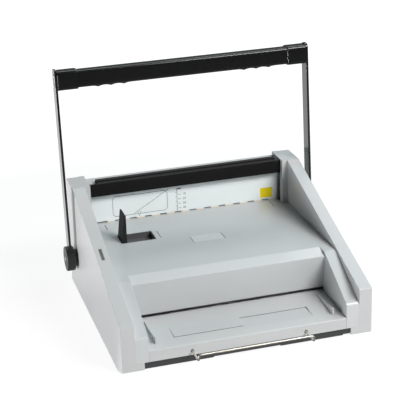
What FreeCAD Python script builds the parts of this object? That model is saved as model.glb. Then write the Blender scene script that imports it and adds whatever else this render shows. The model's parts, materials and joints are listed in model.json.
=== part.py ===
# Desk-top strip binding machine: front punch with a tall handle, binding station on the upper deck.
# Pieces are modelled with X = 0 in the middle, Y measured back from the front face and Z measured up
# from the housing's underside, and are moved to the part's origin (bottom centre) when written.
import FreeCAD, Part

import math
import os

Vec = FreeCAD.Vector

# Housing
RIM_OUT = 210.5          # half width to the crisp outer edge of the rims
RIM_W = 22.0             # width of a rim
WALL_FLARE = 5.0         # how far the outer wall leans out by the base
FLARE_D = 18.0           # length over which the lean sets in, at the front and at the rear
FLARE_STEPS = 3
BODY_D = 394.0
FRONT_H = 78.8           # rim height at the front
TOP_H = 190.0
TOP_FLAT = 56.4          # depth of the flat behind the slope
SLOPE_R = 18.0
EDGE_R = 2.0
WALL_T = 3.0
POST_W = 10.0            # rear posts, inward of the rims
FOOT_W = 14.1            # base flange, inward of the rims
FOOT_H = 12.4
REAR_T = 3.0
REAR_DROP = 6.5          # rear cover's edge, below the rims' top
FEET_H = 2.0
FEET_R = 10.0
FEET_IN = 8.5            # feet, in from the rims' outer edge
FEET_FRONT = 18.0
FEET_REAR = 92.0         # rear feet, ahead of the rear face
SEAM = 0.2               # hairline between neighbouring mouldings

# Deck cover
DECK_Z = 108.3
DECK_T = 3.0
BEVEL_BACK = 122.8       # rear edge of the bevel
BEVEL_FRONT = 97.0
BEVEL_DROP = 6.3
RAIL_W = 22.1            # width of a rail at the tray
RAIL_DRAFT = 1.0         # how far the rails' inner walls lean out by deck height
RAIL_FRONT_H = 55.0
RAIL_R = 8.0
RAIL_RISE_END = 102.0

# Punch tray, throat and sheet guides
TRAY_FRONT_H = 31.8
TRAY_REAR_H = 37.0
TRAY_T = 3.5
TRAY_GAP = 1.2           # dark gap at each end of the tray
THROAT_Y = 106.0
THROAT_H = 5.0
THROAT_D = 14.5
RAMP_DEPTH = 2.0
RAMP_RISE = 1.2
RAMP_END = 48.9          # ramps' outer ends, in from the rails
RAMP_GAP_X = 1.5
RIGHT_RAMP_Y = (22.0, 58.0)
LEFT_RAMP_Y = (28.8, 64.0)
GUIDE_IN = 17.4          # sheet guides, in from the rails: 298 mm apart, for a sheet 297 mm long
GUIDE_T = 2.5
GUIDE_FRONT_Y = 17.8
GUIDE_D = 72.0
GUIDE_FRONT_H = 11.0
GUIDE_REAR_H = 1.5
GUIDE_LIP = 4.0

# Wire sheet rest
WIRE_R = 1.75
WIRE_IN = 70.4           # legs, in from the rails
WIRE_Z = 19.6
WIRE_RISE = 9.9
WIRE_REACH = 38.0        # front of the wire ahead of the front face, at rest
WIRE_BEND = 4.6
WIRE_TAIL = 70.0         # length of leg behind the front face, at rest
WIRE_FIT = 0.08
WIRE_HOLE_R = 2.7
WIRE_HOLE_D = 2.5
SLEEVE_R = 5.0
SLEEVE_L = 20.0
COLLAR_R = 3.2
COLLAR_L = 3.0

# Chip drawer and floor
BASE_T = 1.2
DRAWER_FIT = 0.4
DRAWER_SET = 2.5         # drawer front, back from the front face
DRAWER_FRONT_T = 3.0
DRAWER_D = 145.0
DRAWER_SIDE = 9.4        # pan, in from the base flanges
DRAWER_WALL = 1.5
DRAWER_NOTCH_H = 1.5
DRAWER_NOTCH_X = (-60.0, 53.0)
END_NOTCH_W = 13.0       # cut at the drawer front's right end
END_NOTCH_H = 3.2

# Binding station
JAW_AHEAD = 47.0         # jaw's front, ahead of the rear face
JAW_PLATE_T = 4.0
JAW_BODY_T = 8.5
JAW_H = 23.5
JAW_DROP = 2.0           # jaw, below the rims' top
JAW_BODY_IN = (15.5, 6.5)     # pressing body, in from the left and the right post
JAW_GAP = 0.5
JAW_FIT = 0.3            # jaw's ends and racks to the posts
PANEL_BACK = 14.0        # panel's front, behind the jaw's front
PANEL_T = 2.0
PANEL_DROP = 24.0        # panel's edge, below the rims' top
PANEL_GAP = 1.5          # dark gap at each end of the panel
SLOT_COUNT = 11
SLOT_PITCH = 27.94
SLOT_W = 13.0
SLOT_H = 2.4             # notches in the panel's foot
SLOT_D = 2.6             # slots in the deck ahead of the panel
SLOT_DEPTH = 2.0
SLOT_CENTRE = 13.0
LONG_SLOT_IN = 11.5      # long slot's end, in from the left post
LONG_SLOT_W = 20.0
GUARD_D = 11.0
GUARD_DROP = 0.5         # guard, below the rims' top
EAR_D = 6.0              # rear cover's flange beside the guard, ahead of the guard's back
CHANNEL_D = 9.0
CHANNEL_H = 8.0
CUTTER_H = 12.0
CUTTER_IN = 5.5          # cutter's end, in from the right post

# Jaw drive
MODULE = 1.5
DEDENDUM = 1.25          # tooth root depth, in modules
PINION_TEETH = 16
PINION_W = 4.0
PRESSURE_ANGLE = 20.0
BACKLASH = 0.3
RACK_BACK = 10.5         # racks' pitch line, behind the jaw's front
RACK_W = 1.5
RACK_BOTTOM = 66.5
RACK_TEETH = 13
RACK_FIT = 0.4           # rack in the deck's hole
PINION_Z = 72.0
PRESS_SHAFT_R = 5.0
RUN_FIT = 0.05
BRACKET_T = 4.0
BRACKET_IN = 9.5         # bracket, in from a post
BRACKET_D = 26.0
BRACKET_HEAD = 14.0
GEARBOX_X = (-50.0, -10.0)
GEARBOX_D = 36.0
GEARBOX_H = 92.0
MOTOR_R = 17.0
MOTOR_L = 60.0
MOTOR_Z = 30.0

# Edge stop
STOP_IN = 43.0           # face that the sheets stand against, in from the left post
STOP_AHEAD = 90.0        # stop's front edge, ahead of the jaw
STOP_D = 35.0
STOP_H = 49.7            # above the deck
STOP_TIP_T = 2.5
STOP_ROOT_T = 8.0
STOP_PIVOT_IN = 4.6      # pivot, behind the stop's face
STOP_PIVOT_DROP = 4.4    # pivot, below the deck
STOP_BARREL_R = 3.6
STOP_PIN_R = 1.5
STOP_FIT = 0.4
STOP_TRAY_L = 59.5
STOP_TRAY_T = 1.5
STOP_TRAY_DEPTH = 10.0

# Marks on the deck, badge and rim window
MARK_W = 1.2
MARK_DEPTH = 0.6
MARKS = ((-1, 23.5, 22.0, -3.0), (-1, 103.9, 89.0, 57.0), (1, 20.3, 22.0, -6.0))
# Each mark: side, distance in from that side's post, start and end ahead of the jaw
BADGE_X = (-27.0, 30.0)
BADGE_AHEAD = 130.0      # badge's front edge, ahead of the jaw
BADGE_D = 27.5
BADGE_DEPTH = 1.0
BADGE_T = 0.8
WINDOW_IN = 8.2          # window, in from the rim's outer edge
WINDOW_W = 5.3
WINDOW_Y = (152.6, 179.8)
WINDOW_T = 3.6
WINDOW_SINK = 0.3

# Handle
PIVOT_AHEAD = 69.4       # pivot, ahead of the rear face
PIVOT_Z = 65.0
LEAN = 3.4               # degrees that the handle leans back at rest
SWING = 75.0             # degrees that the handle swings forward
ARM_GAP = 8.2            # arm's inner face, out from the wall's base
ARM_T = 4.0
ARM_W = 23.0
ARM_TIP = 2.2            # arm's tip, above the grip
ARM_TIP_R = 7.0
HUB_R = 22.0
HUB_T = 14.5
HUB_CHEEK = 5.8          # hub, out from the arm's outer face
HUB_FLANGE_R = 15.5
HUB_GAP = 0.8            # hub to side wall
HUB_EDGE_R = 1.2
SHAFT_R = 7.0
FIT = 0.03               # fixed fit on the handle and shaft
BUSH_R = 10.5
BOSS_T = 4.0
GRIP_TOP = 338.3         # above the pivot
GRIP_H = 33.0
GRIP_D = 26.0
GRIP_AHEAD = 13.9        # grip's front, ahead of the arm's middle
GRIP_STEP = 1.8          # grip, smaller than its caps all round
GRIP_R = 4.5
CAP_L = 35.0
CAP_PLUG_L = 20.0
CAP_PLUG_IN = 5.0        # plug, in from the grip's surface
RIDGE_END = 35.4         # outer ridge, in from the cap
RIDGE_PITCH = 22.5
RIDGE_COUNT = 3
RIDGE_H = 2.0
RIDGE_MARGIN = 3.0       # ridges, in from the grip's front and back
HUB_SCREW_R = 3.4
GRIP_SCREW_R = 3.0
SCREW_HEAD = 1.2
GRIP_SCREW_DROP = (26.3, 8.3)     # grip screws, below the grip's top

# Punch drive
CHASSIS_IN = 5.5         # chassis plate, in from the rim
CHASSIS_T = 2.5
CHASSIS_BEHIND = 19.4    # chassis plate's rear edge, behind the pivot
CHASSIS_DROP = 3.8       # chassis plate, below the deck's surface
CRANK_R = 16.0           # crank pin circle
CRANK_DISC_R = 22.0
CRANK_DISC_T = 6.0
CRANK_IN = 8.0           # crank disc, in from the slide
CRANK_PIN_R = 4.0
YOKE_PLAY = 0.35         # crank pin in the slide's fork, each side
SLIDE_IN = 7.0           # slide, in from the chassis plate
SLIDE_T = 4.0
SLIDE_AHEAD = 14.0       # slide's front, ahead of the punches
SLIDE_LOW = 8.5          # slide's edges, above the pivot
SLIDE_HIGH = 28.0
SLIDE_TINE = 6.0
SLIDE_NOSE_D = 46.0
SLIDE_NOSE_DROP = 17.0   # nose's edge, below the follower
SLIDE_PIN_AHEAD = (134.6, 54.6)   # guide pins, ahead of the pivot
SLIDE_PIN_RISE = 19.0    # guide pins, above the pivot
SLIDE_PIN_R = 4.0
SLIDE_PIN_HEAD_R = 6.5
SLIDE_FIT = 0.08
SIDE_PLAY = 0.3
TIE_AHEAD = 84.6         # tie bar, ahead of the pivot
TIE_R = 4.0
PUNCH_BACK = 12.0        # punches, behind the throat's mouth
PUNCH_TRAVEL = 9.0
PUNCH_COUNT = 10
PUNCH_R = 1.6
PUNCH_FIT = 0.05
PUNCH_LIFT = 1.0         # punch tips above the throat's roof, at rest
DIE_T = 8.0
DIE_GAP = 0.5            # die to tray
DIE_D = 21.5
GUIDE_PLATE_T = 8.0
BEAM_W = 12.0
BEAM_H = 18.0
BEAM_IN = 4.0            # beam's end, in from the slide
BEAM_CLEAR = 3.0         # beam above the guide plate at full stroke
FOLLOWER_R = 4.0

# Rear cover, electrics and fasteners
VENT_COUNT = 12
VENT_PITCH = 9.0
VENT_W = 3.0
VENT_H = 30.0
VENT_X = -70.0
VENT_Z = 75.0
INLET_X = 120.0
INLET_Z = 40.0
INLET_W = 27.0
INLET_H = 20.0
INLET_D = 24.0
INLET_WALL = 2.0
INLET_CAVITY_D = 16.0
INLET_PIN = (2.0, 9.0, 4.0)   # width, reach and height of a contact blade
INLET_PIN_PITCH = 7.0
INLET_FLANGE = 3.0
SWITCH_X = 85.0
SWITCH_W = 14.0
SWITCH_H = 20.0
SWITCH_D = 20.0
ROCKER_FIT = 0.3
ROCKER_H = 16.4
ROCKER_PROUD = 2.0
ROCKER_PIN_R = 1.5
BOARD_IN = 28.5          # board, in from the left post
BOARD_W = 90.0
BOARD_AHEAD = 11.0       # board, ahead of the rear cover
BOARD_D = 80.0
BOARD_T = 1.6
STANDOFF_H = 7.0
STANDOFF_R = 3.0
COVER_SCREW_R = 1.6
COVER_SCREW_HEAD_R = 3.2
COVER_SCREW_L = 12.0
COVER_SCREW_RISE = 16.7  # lower screws, above the deck
COVER_SCREW_DROP = 15.0  # upper screws, below the rims' top

# Worked out from the above: widths
RIM_IN = RIM_OUT - RIM_W
WALL_OUT = RIM_OUT + WALL_FLARE
POST_IN = RIM_IN - POST_W
FOOT_IN = RIM_IN - FOOT_W
FEET_X = RIM_OUT - FEET_IN
RAIL_IN = RIM_IN - RAIL_W
GUIDE_X = RAIL_IN - GUIDE_IN
WIRE_X = RAIL_IN - WIRE_IN
DRAWER_HALF = FOOT_IN - DRAWER_SIDE
JAW_BODY_X = (JAW_BODY_IN[0] - POST_IN, POST_IN - JAW_BODY_IN[1])
LONG_SLOT_X = (LONG_SLOT_IN - POST_IN, LONG_SLOT_IN - POST_IN + LONG_SLOT_W)
RACK_X = POST_IN - JAW_FIT - RACK_W
PINION_X = RACK_X + (RACK_W - PINION_W) / 2
BRACKET_X = POST_IN - BRACKET_IN
STOP_X = STOP_IN - POST_IN
STOP_PIVOT_X = STOP_X - STOP_PIVOT_IN
WINDOW_X = (WINDOW_IN - RIM_OUT, WINDOW_IN - RIM_OUT + WINDOW_W)
ARM_X = WALL_OUT + ARM_GAP
HUB_OUT = ARM_X + ARM_T + HUB_CHEEK
GRIP_HALF = ARM_X - CAP_L
RIDGE_X = [GRIP_HALF - RIDGE_END - RIDGE_PITCH * (RIDGE_COUNT - 1 - i) for i in range(RIDGE_COUNT)]
CHASSIS_X = RIM_IN - CHASSIS_IN
SLIDE_X = CHASSIS_X - SLIDE_IN
CRANK_X = SLIDE_X - CRANK_IN
BEAM_HALF = SLIDE_X - BEAM_IN
BOARD_X = (BOARD_IN - POST_IN, BOARD_IN - POST_IN + BOARD_W)

# Worked out: depths
FRONT = -(BODY_D - WIRE_REACH) / 2
REAR_IN = BODY_D - REAR_T
SLOPE_END = BODY_D - TOP_FLAT
FEET_Y = (FEET_FRONT, BODY_D - FEET_REAR)
JAW_Y = BODY_D - JAW_AHEAD
JAW_BACK = JAW_Y + JAW_PLATE_T + JAW_BODY_T
PANEL_Y = JAW_Y + PANEL_BACK
GUARD_Y = (JAW_BACK + JAW_GAP, JAW_BACK + JAW_GAP + GUARD_D)
RACK_PITCH_Y = JAW_Y + RACK_BACK
STOP_Y = (JAW_Y - STOP_AHEAD, JAW_Y - STOP_AHEAD + STOP_D)
BADGE_Y = (JAW_Y - BADGE_AHEAD, JAW_Y - BADGE_AHEAD + BADGE_D)
PIVOT_Y = BODY_D - PIVOT_AHEAD
CHASSIS_Y = (THROAT_Y - DIE_GAP, PIVOT_Y + CHASSIS_BEHIND)
SLIDE_PIN_Y = [PIVOT_Y - ahead for ahead in SLIDE_PIN_AHEAD]
TIE_Y = PIVOT_Y - TIE_AHEAD
PUNCH_Y = THROAT_Y + PUNCH_BACK
SLIDE_FRONT = PUNCH_Y - SLIDE_AHEAD
DIE_FRONT = THROAT_Y + DIE_GAP
BOARD_Y = (REAR_IN - BOARD_AHEAD - BOARD_D, REAR_IN - BOARD_AHEAD)

# Worked out: heights
SLOPE = (TOP_H - FRONT_H) / SLOPE_END
REAR_TOP = TOP_H - REAR_DROP
TRAY_SLOPE = (TRAY_REAR_H - TRAY_FRONT_H) / THROAT_Y
THROAT_ROOF = TRAY_REAR_H + THROAT_H
PANEL_TOP = TOP_H - PANEL_DROP
JAW_TOP = TOP_H - JAW_DROP
JAW_BOTTOM = JAW_TOP - JAW_H
GUARD_TOP = TOP_H - GUARD_DROP
STOP_TOP = DECK_Z + STOP_H
STOP_PIVOT_Z = DECK_Z - STOP_PIVOT_DROP
ARM_L = GRIP_TOP + ARM_TIP
GRIP_SCREW_Z = [GRIP_TOP - drop for drop in GRIP_SCREW_DROP]
CHASSIS_TOP = DECK_Z - CHASSIS_DROP
GUIDE_PLATE_TOP = THROAT_ROOF + GUIDE_PLATE_T
BEAM_BOTTOM = GUIDE_PLATE_TOP + BEAM_CLEAR + PUNCH_TRAVEL
FOLLOWER_Z = BEAM_BOTTOM + BEAM_H / 2
SLIDE_BOTTOM = PIVOT_Z + SLIDE_LOW
SLIDE_TOP = PIVOT_Z + SLIDE_HIGH
SLIDE_NOSE_BOTTOM = FOLLOWER_Z - SLIDE_NOSE_DROP
SLIDE_PIN_Z = PIVOT_Z + SLIDE_PIN_RISE
COVER_SCREW_Z = (DECK_Z + COVER_SCREW_RISE, TOP_H - COVER_SCREW_DROP)

# Worked out: drives
HALF_SWING = math.radians(SWING / 2)
SLIDE_STROKE = 2 * CRANK_R * math.sin(HALF_SWING)
YOKE_Y = PIVOT_Y + CRANK_R * math.sin(HALF_SWING)
CRANK_PIN_Z = PIVOT_Z + CRANK_R * math.cos(HALF_SWING)
PITCH_R = MODULE * PINION_TEETH / 2
PINION_Y = RACK_PITCH_Y + PITCH_R
TOOTH_PITCH = math.pi * MODULE

FRAME = {
    "x": lambda a, b, c: Vec(c, a, b),
    "y": lambda a, b, c: Vec(a, c, b),
    "z": lambda a, b, c: Vec(a, b, c),
}
UNIT = {"x": Vec(1, 0, 0), "y": Vec(0, 1, 0), "z": Vec(0, 0, 1)}


def rounded_path(corners, closed):
    """Lines through 3-D corners (point, radius), with tangent arcs where a radius is given."""
    edges = []
    count = len(corners)
    ends = []
    for index, (point, radius) in enumerate(corners):
        inner = closed or 0 < index < count - 1
        if not radius or not inner:
            ends.append((point, None, point))
            continue
        before = (corners[index - 1][0] - point).normalize()
        after = (corners[(index + 1) % count][0] - point).normalize()
        half = before.getAngle(after) / 2
        middle = (before + after).normalize()
        reach = radius / math.tan(half)
        centre = point + middle * (radius / math.sin(half))
        ends.append((point + before * reach, centre - middle * radius, point + after * reach))
    for index, (start, through, end) in enumerate(ends):
        if through is not None:
            edges.append(Part.Arc(start, through, end).toShape())
        if index + 1 < count or closed:
            following = ends[(index + 1) % count][0]
            if (following - end).Length > 1e-6:
                edges.append(Part.makeLine(end, following))
    return Part.Wire(edges)


def outline(axis, points, level):
    """Closed wire in the plane square to an axis; a point is (a, b) or (a, b, corner radius)."""
    place = FRAME[axis]
    corners = [(place(p[0], p[1], level), p[2] if len(p) > 2 else 0) for p in points]
    return rounded_path(corners, True)


def prism(axis, points, low, high):
    """Outline extruded along an axis from one level to another."""
    return Part.Face(outline(axis, points, low)).extrude(UNIT[axis] * (high - low))


def box(x, y, z):
    """Block between pairs of limits."""
    return Part.makeBox(x[1] - x[0], y[1] - y[0], z[1] - z[0], Vec(x[0], y[0], z[0]))


def rod(axis, radius, centre, low, high):
    """Cylinder along an axis; its centre is given in the plane square to that axis."""
    return Part.makeCylinder(radius, high - low, FRAME[axis](centre[0], centre[1], low), UNIT[axis])


def slot(axis, start, end, radius, low, high):
    """Round-ended slot between two centres."""
    along = Vec(end[0] - start[0], end[1] - start[1], 0).normalize()
    side = Vec(-along.y, along.x, 0) * radius
    corners = [(start[0] + side.x, start[1] + side.y), (end[0] + side.x, end[1] + side.y),
               (end[0] - side.x, end[1] - side.y), (start[0] - side.x, start[1] - side.y)]
    ends = rod(axis, radius, start, low, high).fuse(rod(axis, radius, end, low, high))
    return prism(axis, corners, low, high).fuse(ends).removeSplitter()


def group(solids):
    """Separate solids kept together in one piece."""
    return Part.makeCompound(solids)


def mirrored(shape):
    """The same piece on the other side of the machine."""
    return shape.mirror(Vec(0, 0, 0), UNIT["x"])


def leaned(shape):
    """Turn an upright handle piece back to its rest angle."""
    turned = shape.copy()
    turned.rotate(Vec(0, PIVOT_Y, PIVOT_Z), UNIT["x"], -LEAN)
    return turned


def slope_z(y):
    """Height of a rim's sloping top."""
    return FRONT_H + SLOPE * y


def tray_z(y):
    """Height of the tray's surface."""
    return TRAY_FRONT_H + TRAY_SLOPE * y


def side_points(inset, bottom):
    """Side outline, set in from the front, slope, top and rear."""
    lean = inset * math.sqrt(1 + SLOPE ** 2)
    corner_y = (TOP_H - inset - FRONT_H + lean) / SLOPE
    return [(inset, bottom), (inset, slope_z(inset) - lean, EDGE_R),
            (corner_y, TOP_H - inset, max(SLOPE_R - inset, EDGE_R)),
            (BODY_D - inset, TOP_H - inset, EDGE_R), (BODY_D - inset, bottom)]


def wall_x(y, z):
    """Outer wall's half width: it leans out from the rim's edge to the base, less near the ends."""
    near = max(0, min(1, y / FLARE_D, (BODY_D - y) / FLARE_D))
    top = min(slope_z(y), TOP_H)
    return RIM_OUT + WALL_FLARE * (1 - (1 - near) ** 2) * (top - z) / top


def side_block(inset, bottom):
    """Solid side panel between the rim's inner face and the leaning wall, set in from its skin."""
    steps = [FLARE_D * i / FLARE_STEPS for i in range(FLARE_STEPS + 1)]
    stations = [-WALL_T] + steps + [SLOPE_END] + [BODY_D - y for y in reversed(steps)] + [BODY_D + WALL_T]
    low, high = -2 * WALL_T, TOP_H + WALL_T
    sections = []
    for y in stations:
        corners = [(RIM_IN + inset, low), (RIM_IN + inset, high), (wall_x(y, high) - inset, high),
                   (wall_x(y, low) - inset, low)]
        sections.append(outline("y", corners, y))
    block = Part.makeLoft(sections, True, True)
    return block.common(prism("x", side_points(inset, bottom), RIM_IN, WALL_OUT + WALL_T))


def side_panel():
    """Right side panel: hollow moulding with rim, leaning wall, rear post, base flange and shaft boss."""
    shell = side_block(0, 0).cut(side_block(WALL_T, -WALL_T))
    shell = shell.fuse(box((POST_IN, RIM_IN), (SLOPE_END, BODY_D), (DECK_Z, TOP_H)))
    shell = shell.fuse(box((FOOT_IN, RIM_IN), (0, REAR_IN), (0, FOOT_H)))
    for y in FEET_Y:
        pad = box((RIM_IN, RIM_OUT), (y - FEET_R - WALL_T, y + FEET_R + WALL_T), (0, FOOT_H))
        shell = shell.fuse(pad)
    seat = wall_x(PIVOT_Y, PIVOT_Z)
    shell = shell.fuse(rod("x", BUSH_R + BOSS_T, (PIVOT_Y, PIVOT_Z), RIM_IN, seat - WALL_T / 2))
    shell = shell.cut(rod("x", BUSH_R, (PIVOT_Y, PIVOT_Z), 0, 2 * WALL_OUT))
    for z in COVER_SCREW_Z:
        shell = shell.cut(cover_screw_hole(z))
    rear_seat = box((0, RIM_IN), (REAR_IN, BODY_D), (0, REAR_TOP))
    return shell.cut(rear_seat).removeSplitter()


def cover_screw_hole(z):
    """Pilot hole for a rear cover screw in a post."""
    reach = REAR_IN - COVER_SCREW_L
    return rod("y", COVER_SCREW_R + FIT, (cover_screw_x(), z), reach, BODY_D)


def cover_screw_x():
    """Where the rear cover's screws stand, in the middle of a post."""
    return POST_IN + POST_W / 2


def window_prism(depth, sink):
    """Block under the left rim's slope, where its window sits."""
    near, far = WINDOW_Y
    top = [(near, slope_z(near) - sink), (far, slope_z(far) - sink)]
    return prism("x", top + [(far, slope_z(far) - depth), (near, slope_z(near) - depth)], *WINDOW_X)


def left_side_panel():
    """Left side panel, with a pocket for the window."""
    return mirrored(side_panel()).cut(window_prism(WINDOW_T, -WALL_T))


def rail_wall_cut(thickness):
    """Everything inward of a rail's leaning inner wall."""
    lean = RAIL_DRAFT / (DECK_Z - TRAY_REAR_H)
    low, high = -WALL_T, DECK_Z + WALL_T

    def wall_x(z):
        return RAIL_IN + thickness + max(0, z - TRAY_REAR_H) * lean

    knee = TRAY_REAR_H
    points = [(0, low), (wall_x(low), low), (wall_x(knee), knee), (wall_x(high), high), (0, high)]
    return prism("y", points, -WALL_T, BEVEL_BACK + WALL_T)


def rail():
    """Right front rail: a hollow wedge from the front face up to the deck."""
    under = DECK_Z - DECK_T
    rise = (DECK_Z - RAIL_FRONT_H) / RAIL_RISE_END
    skin = WALL_T * math.sqrt(1 + rise ** 2)
    rear = THROAT_Y - WALL_T / 2
    solid = prism("x", [(0, FOOT_H), (0, RAIL_FRONT_H, RAIL_R), (RAIL_RISE_END, DECK_Z), (BEVEL_BACK, DECK_Z),
                        (BEVEL_BACK, under), (rear, under), (rear, FOOT_H)], 0, RIM_IN)
    inner_front = RAIL_FRONT_H + rise * WALL_T - skin
    meet = (under - RAIL_FRONT_H + skin) / rise
    inside = [(WALL_T, 0), (WALL_T, inner_front), (meet, under), (rear, under), (rear, 0)]
    hollow = prism("x", inside, 0, RIM_IN)
    return solid.cut(rail_wall_cut(0)).cut(hollow.cut(rail_wall_cut(WALL_T)))


def deck_cover():
    """Deck, bevel, fascia and both rails in one moulding."""
    under = DECK_Z - DECK_T
    fascia_foot = THROAT_Y
    skin = DECK_T
    bevel_z = DECK_Z - BEVEL_DROP
    sheet = [(REAR_IN, DECK_Z), (BEVEL_BACK, DECK_Z), (BEVEL_FRONT, bevel_z), (fascia_foot, THROAT_ROOF),
             (fascia_foot + skin, THROAT_ROOF), (BEVEL_FRONT + skin, bevel_z - skin / 2), (BEVEL_BACK, under),
             (REAR_IN, under)]
    front_half = RAIL_IN + RAIL_DRAFT + WALL_T / 2
    cover = prism("x", sheet, -front_half, front_half)
    cover = cover.fuse(box((-RIM_IN, RIM_IN), (BEVEL_BACK, REAR_IN), (under, DECK_Z)))
    side = rail()
    cover = cover.fuse([side, mirrored(side)])
    cuts = [box(BADGE_X, BADGE_Y, (DECK_Z - BADGE_DEPTH, DECK_Z)), stop_tray_block(0)]
    for side, inset, start, end in MARKS:
        x = side * (POST_IN - inset)
        span = (x - MARK_W / 2, x + MARK_W / 2)
        cuts.append(box(span, (JAW_Y - start, JAW_Y - end), (DECK_Z - MARK_DEPTH, DECK_Z)))
    for span in notch_spans():
        cuts.append(box(span, (PANEL_Y - SLOT_D, PANEL_Y + PANEL_T), (DECK_Z - SLOT_DEPTH, DECK_Z)))
    hole = box((RACK_X - RACK_FIT, RACK_X + RACK_W + RACK_FIT),
               (JAW_Y + JAW_PLATE_T - RACK_FIT, RACK_PITCH_Y + MODULE + RACK_FIT), (under, DECK_Z))
    return cover.cut(cuts + [hole, mirrored(hole)]).removeSplitter()


def punch_tray():
    """Sheet tray and apron, with ramps in its surface and sleeves for the wire rest."""
    half = RAIL_IN - TRAY_GAP
    rear = THROAT_Y
    sheet = [(0, FOOT_H), (0, TRAY_FRONT_H, EDGE_R), (rear, TRAY_REAR_H), (rear, TRAY_REAR_H - TRAY_T),
             (TRAY_T, tray_z(TRAY_T) - TRAY_T), (TRAY_T, FOOT_H)]
    apron = [(0, FOOT_H), (0, TRAY_FRONT_H, EDGE_R), (TRAY_T, tray_z(TRAY_T)), (TRAY_T, FOOT_H)]
    tray = prism("x", sheet, -half, half).fuse(prism("x", apron, SEAM - RAIL_IN, RAIL_IN - SEAM))
    side = [(0, FOOT_H), (rear, FOOT_H), (rear, TRAY_REAR_H - TRAY_T), (0, tray_z(0) - TRAY_T)]
    wall = prism("x", side, half - WALL_T, half)
    tray = tray.fuse([wall, mirrored(wall)])
    near, far = RIGHT_RAMP_Y
    sunk = [(near, tray_z(near)), (far, tray_z(far)), (far, tray_z(far) - RAMP_DEPTH)]
    ramp_end = RAIL_IN - RAMP_END
    tray = tray.cut(prism("x", sunk, 0, ramp_end))
    near, far = LEFT_RAMP_Y
    raised = [(near, tray_z(near)), (near, tray_z(near) + RAMP_RISE), (far, tray_z(far))]
    tray = tray.fuse(prism("x", raised, -ramp_end, -RAMP_GAP_X))
    sleeve = rod("y", SLEEVE_R, (WIRE_X, WIRE_Z), 0, SLEEVE_L)
    web = box((WIRE_X - WALL_T / 2, WIRE_X + WALL_T / 2), (TRAY_T, SLEEVE_L),
              (WIRE_Z, TRAY_FRONT_H - TRAY_T / 2))
    sleeve = sleeve.fuse(web).cut(box((0, RAIL_IN), (-SLEEVE_L, 0), (0, TRAY_FRONT_H)))
    bore = rod("y", WIRE_R + WIRE_FIT, (WIRE_X, WIRE_Z), -SLEEVE_L, 2 * SLEEVE_L)
    bore = bore.fuse(rod("y", WIRE_HOLE_R, (WIRE_X, WIRE_Z), -SLEEVE_L, WIRE_HOLE_D))
    tray = tray.fuse([sleeve, mirrored(sleeve)])
    return tray.cut([bore, mirrored(bore)]).removeSplitter()


def paper_guide():
    """Right sheet guide: a thin fin, tallest at the front with a small lip."""
    front, rear = GUIDE_FRONT_Y, GUIDE_FRONT_Y + GUIDE_D
    lip = front + GUIDE_LIP
    lip_drop = GUIDE_LIP / 2
    fin = [(front, tray_z(front)), (front, tray_z(front) + GUIDE_FRONT_H), (lip, tray_z(lip) + GUIDE_FRONT_H),
           (lip + GUIDE_LIP / 2, tray_z(lip) + GUIDE_FRONT_H - lip_drop),
           (rear, tray_z(rear) + GUIDE_REAR_H), (rear, tray_z(rear))]
    return prism("x", fin, GUIDE_X, GUIDE_X + GUIDE_T)


def wire_support():
    """Bent wire sheet rest with stop collars on its legs."""
    bar_y = -WIRE_REACH + WIRE_R
    bar_z = WIRE_Z + WIRE_RISE
    half = [(Vec(WIRE_X, WIRE_TAIL, WIRE_Z), 0), (Vec(WIRE_X, bar_y, WIRE_Z), WIRE_BEND),
            (Vec(WIRE_X, bar_y, bar_z), WIRE_BEND)]
    other = [(Vec(-point.x, point.y, point.z), radius) for point, radius in reversed(half)]
    path = rounded_path(half + other, False)
    section = Part.Wire(Part.makeCircle(WIRE_R, half[0][0], UNIT["y"]))
    pipe = Part.BRepOffsetAPI.MakePipeShell(path)
    pipe.add(section)
    pipe.build()
    pipe.makeSolid()
    collar = rod("y", COLLAR_R, (WIRE_X, WIRE_Z), WIRE_TAIL - COLLAR_L, WIRE_TAIL)
    return pipe.shape().fuse([collar, mirrored(collar)]).removeSplitter()


def chip_drawer():
    """Shallow chip drawer; its dark front has a finger notch below and a cut at its right end."""
    low, high = BASE_T + DRAWER_FIT, FOOT_H - DRAWER_FIT
    foot = DRAWER_FIT
    face_y = (DRAWER_SET, DRAWER_SET + DRAWER_FRONT_T)
    face_half = FOOT_IN - DRAWER_FIT
    face = box((-face_half, face_half), face_y, (foot, high))
    face = face.cut(box(DRAWER_NOTCH_X, face_y, (foot, foot + DRAWER_NOTCH_H)))
    face = face.cut(box((face_half - END_NOTCH_W, face_half), face_y, (foot, foot + END_NOTCH_H)))
    pan_y = (face_y[1], face_y[1] + DRAWER_D)
    pan = box((-DRAWER_HALF, DRAWER_HALF), pan_y, (low, high))
    inner = DRAWER_HALF - DRAWER_WALL
    inside = box((-inner, inner), (pan_y[0], pan_y[1] - DRAWER_WALL),
                 (low + DRAWER_NOTCH_H + DRAWER_WALL, high))
    return face.fuse(pan.cut(inside)).removeSplitter()


def base_plate():
    """Floor pan with low runners beside the drawer."""
    start = DRAWER_SET + DRAWER_FRONT_T + DRAWER_FIT
    plate = box((-FOOT_IN, FOOT_IN), (start, REAR_IN), (0, BASE_T))
    inner = DRAWER_HALF + DRAWER_FIT
    runner = box((inner, inner + BASE_T), (start, start + DRAWER_D), (0, FOOT_H - DRAWER_FIT))
    return plate.fuse([runner, mirrored(runner)]).removeSplitter()


def notch_spans():
    """Widths of the notches along the upright panel's foot."""
    centres = [SLOT_CENTRE + (i - (SLOT_COUNT - 1) / 2) * SLOT_PITCH for i in range(SLOT_COUNT)]
    return [(x - SLOT_W / 2, x + SLOT_W / 2) for x in centres] + [LONG_SLOT_X]


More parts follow.
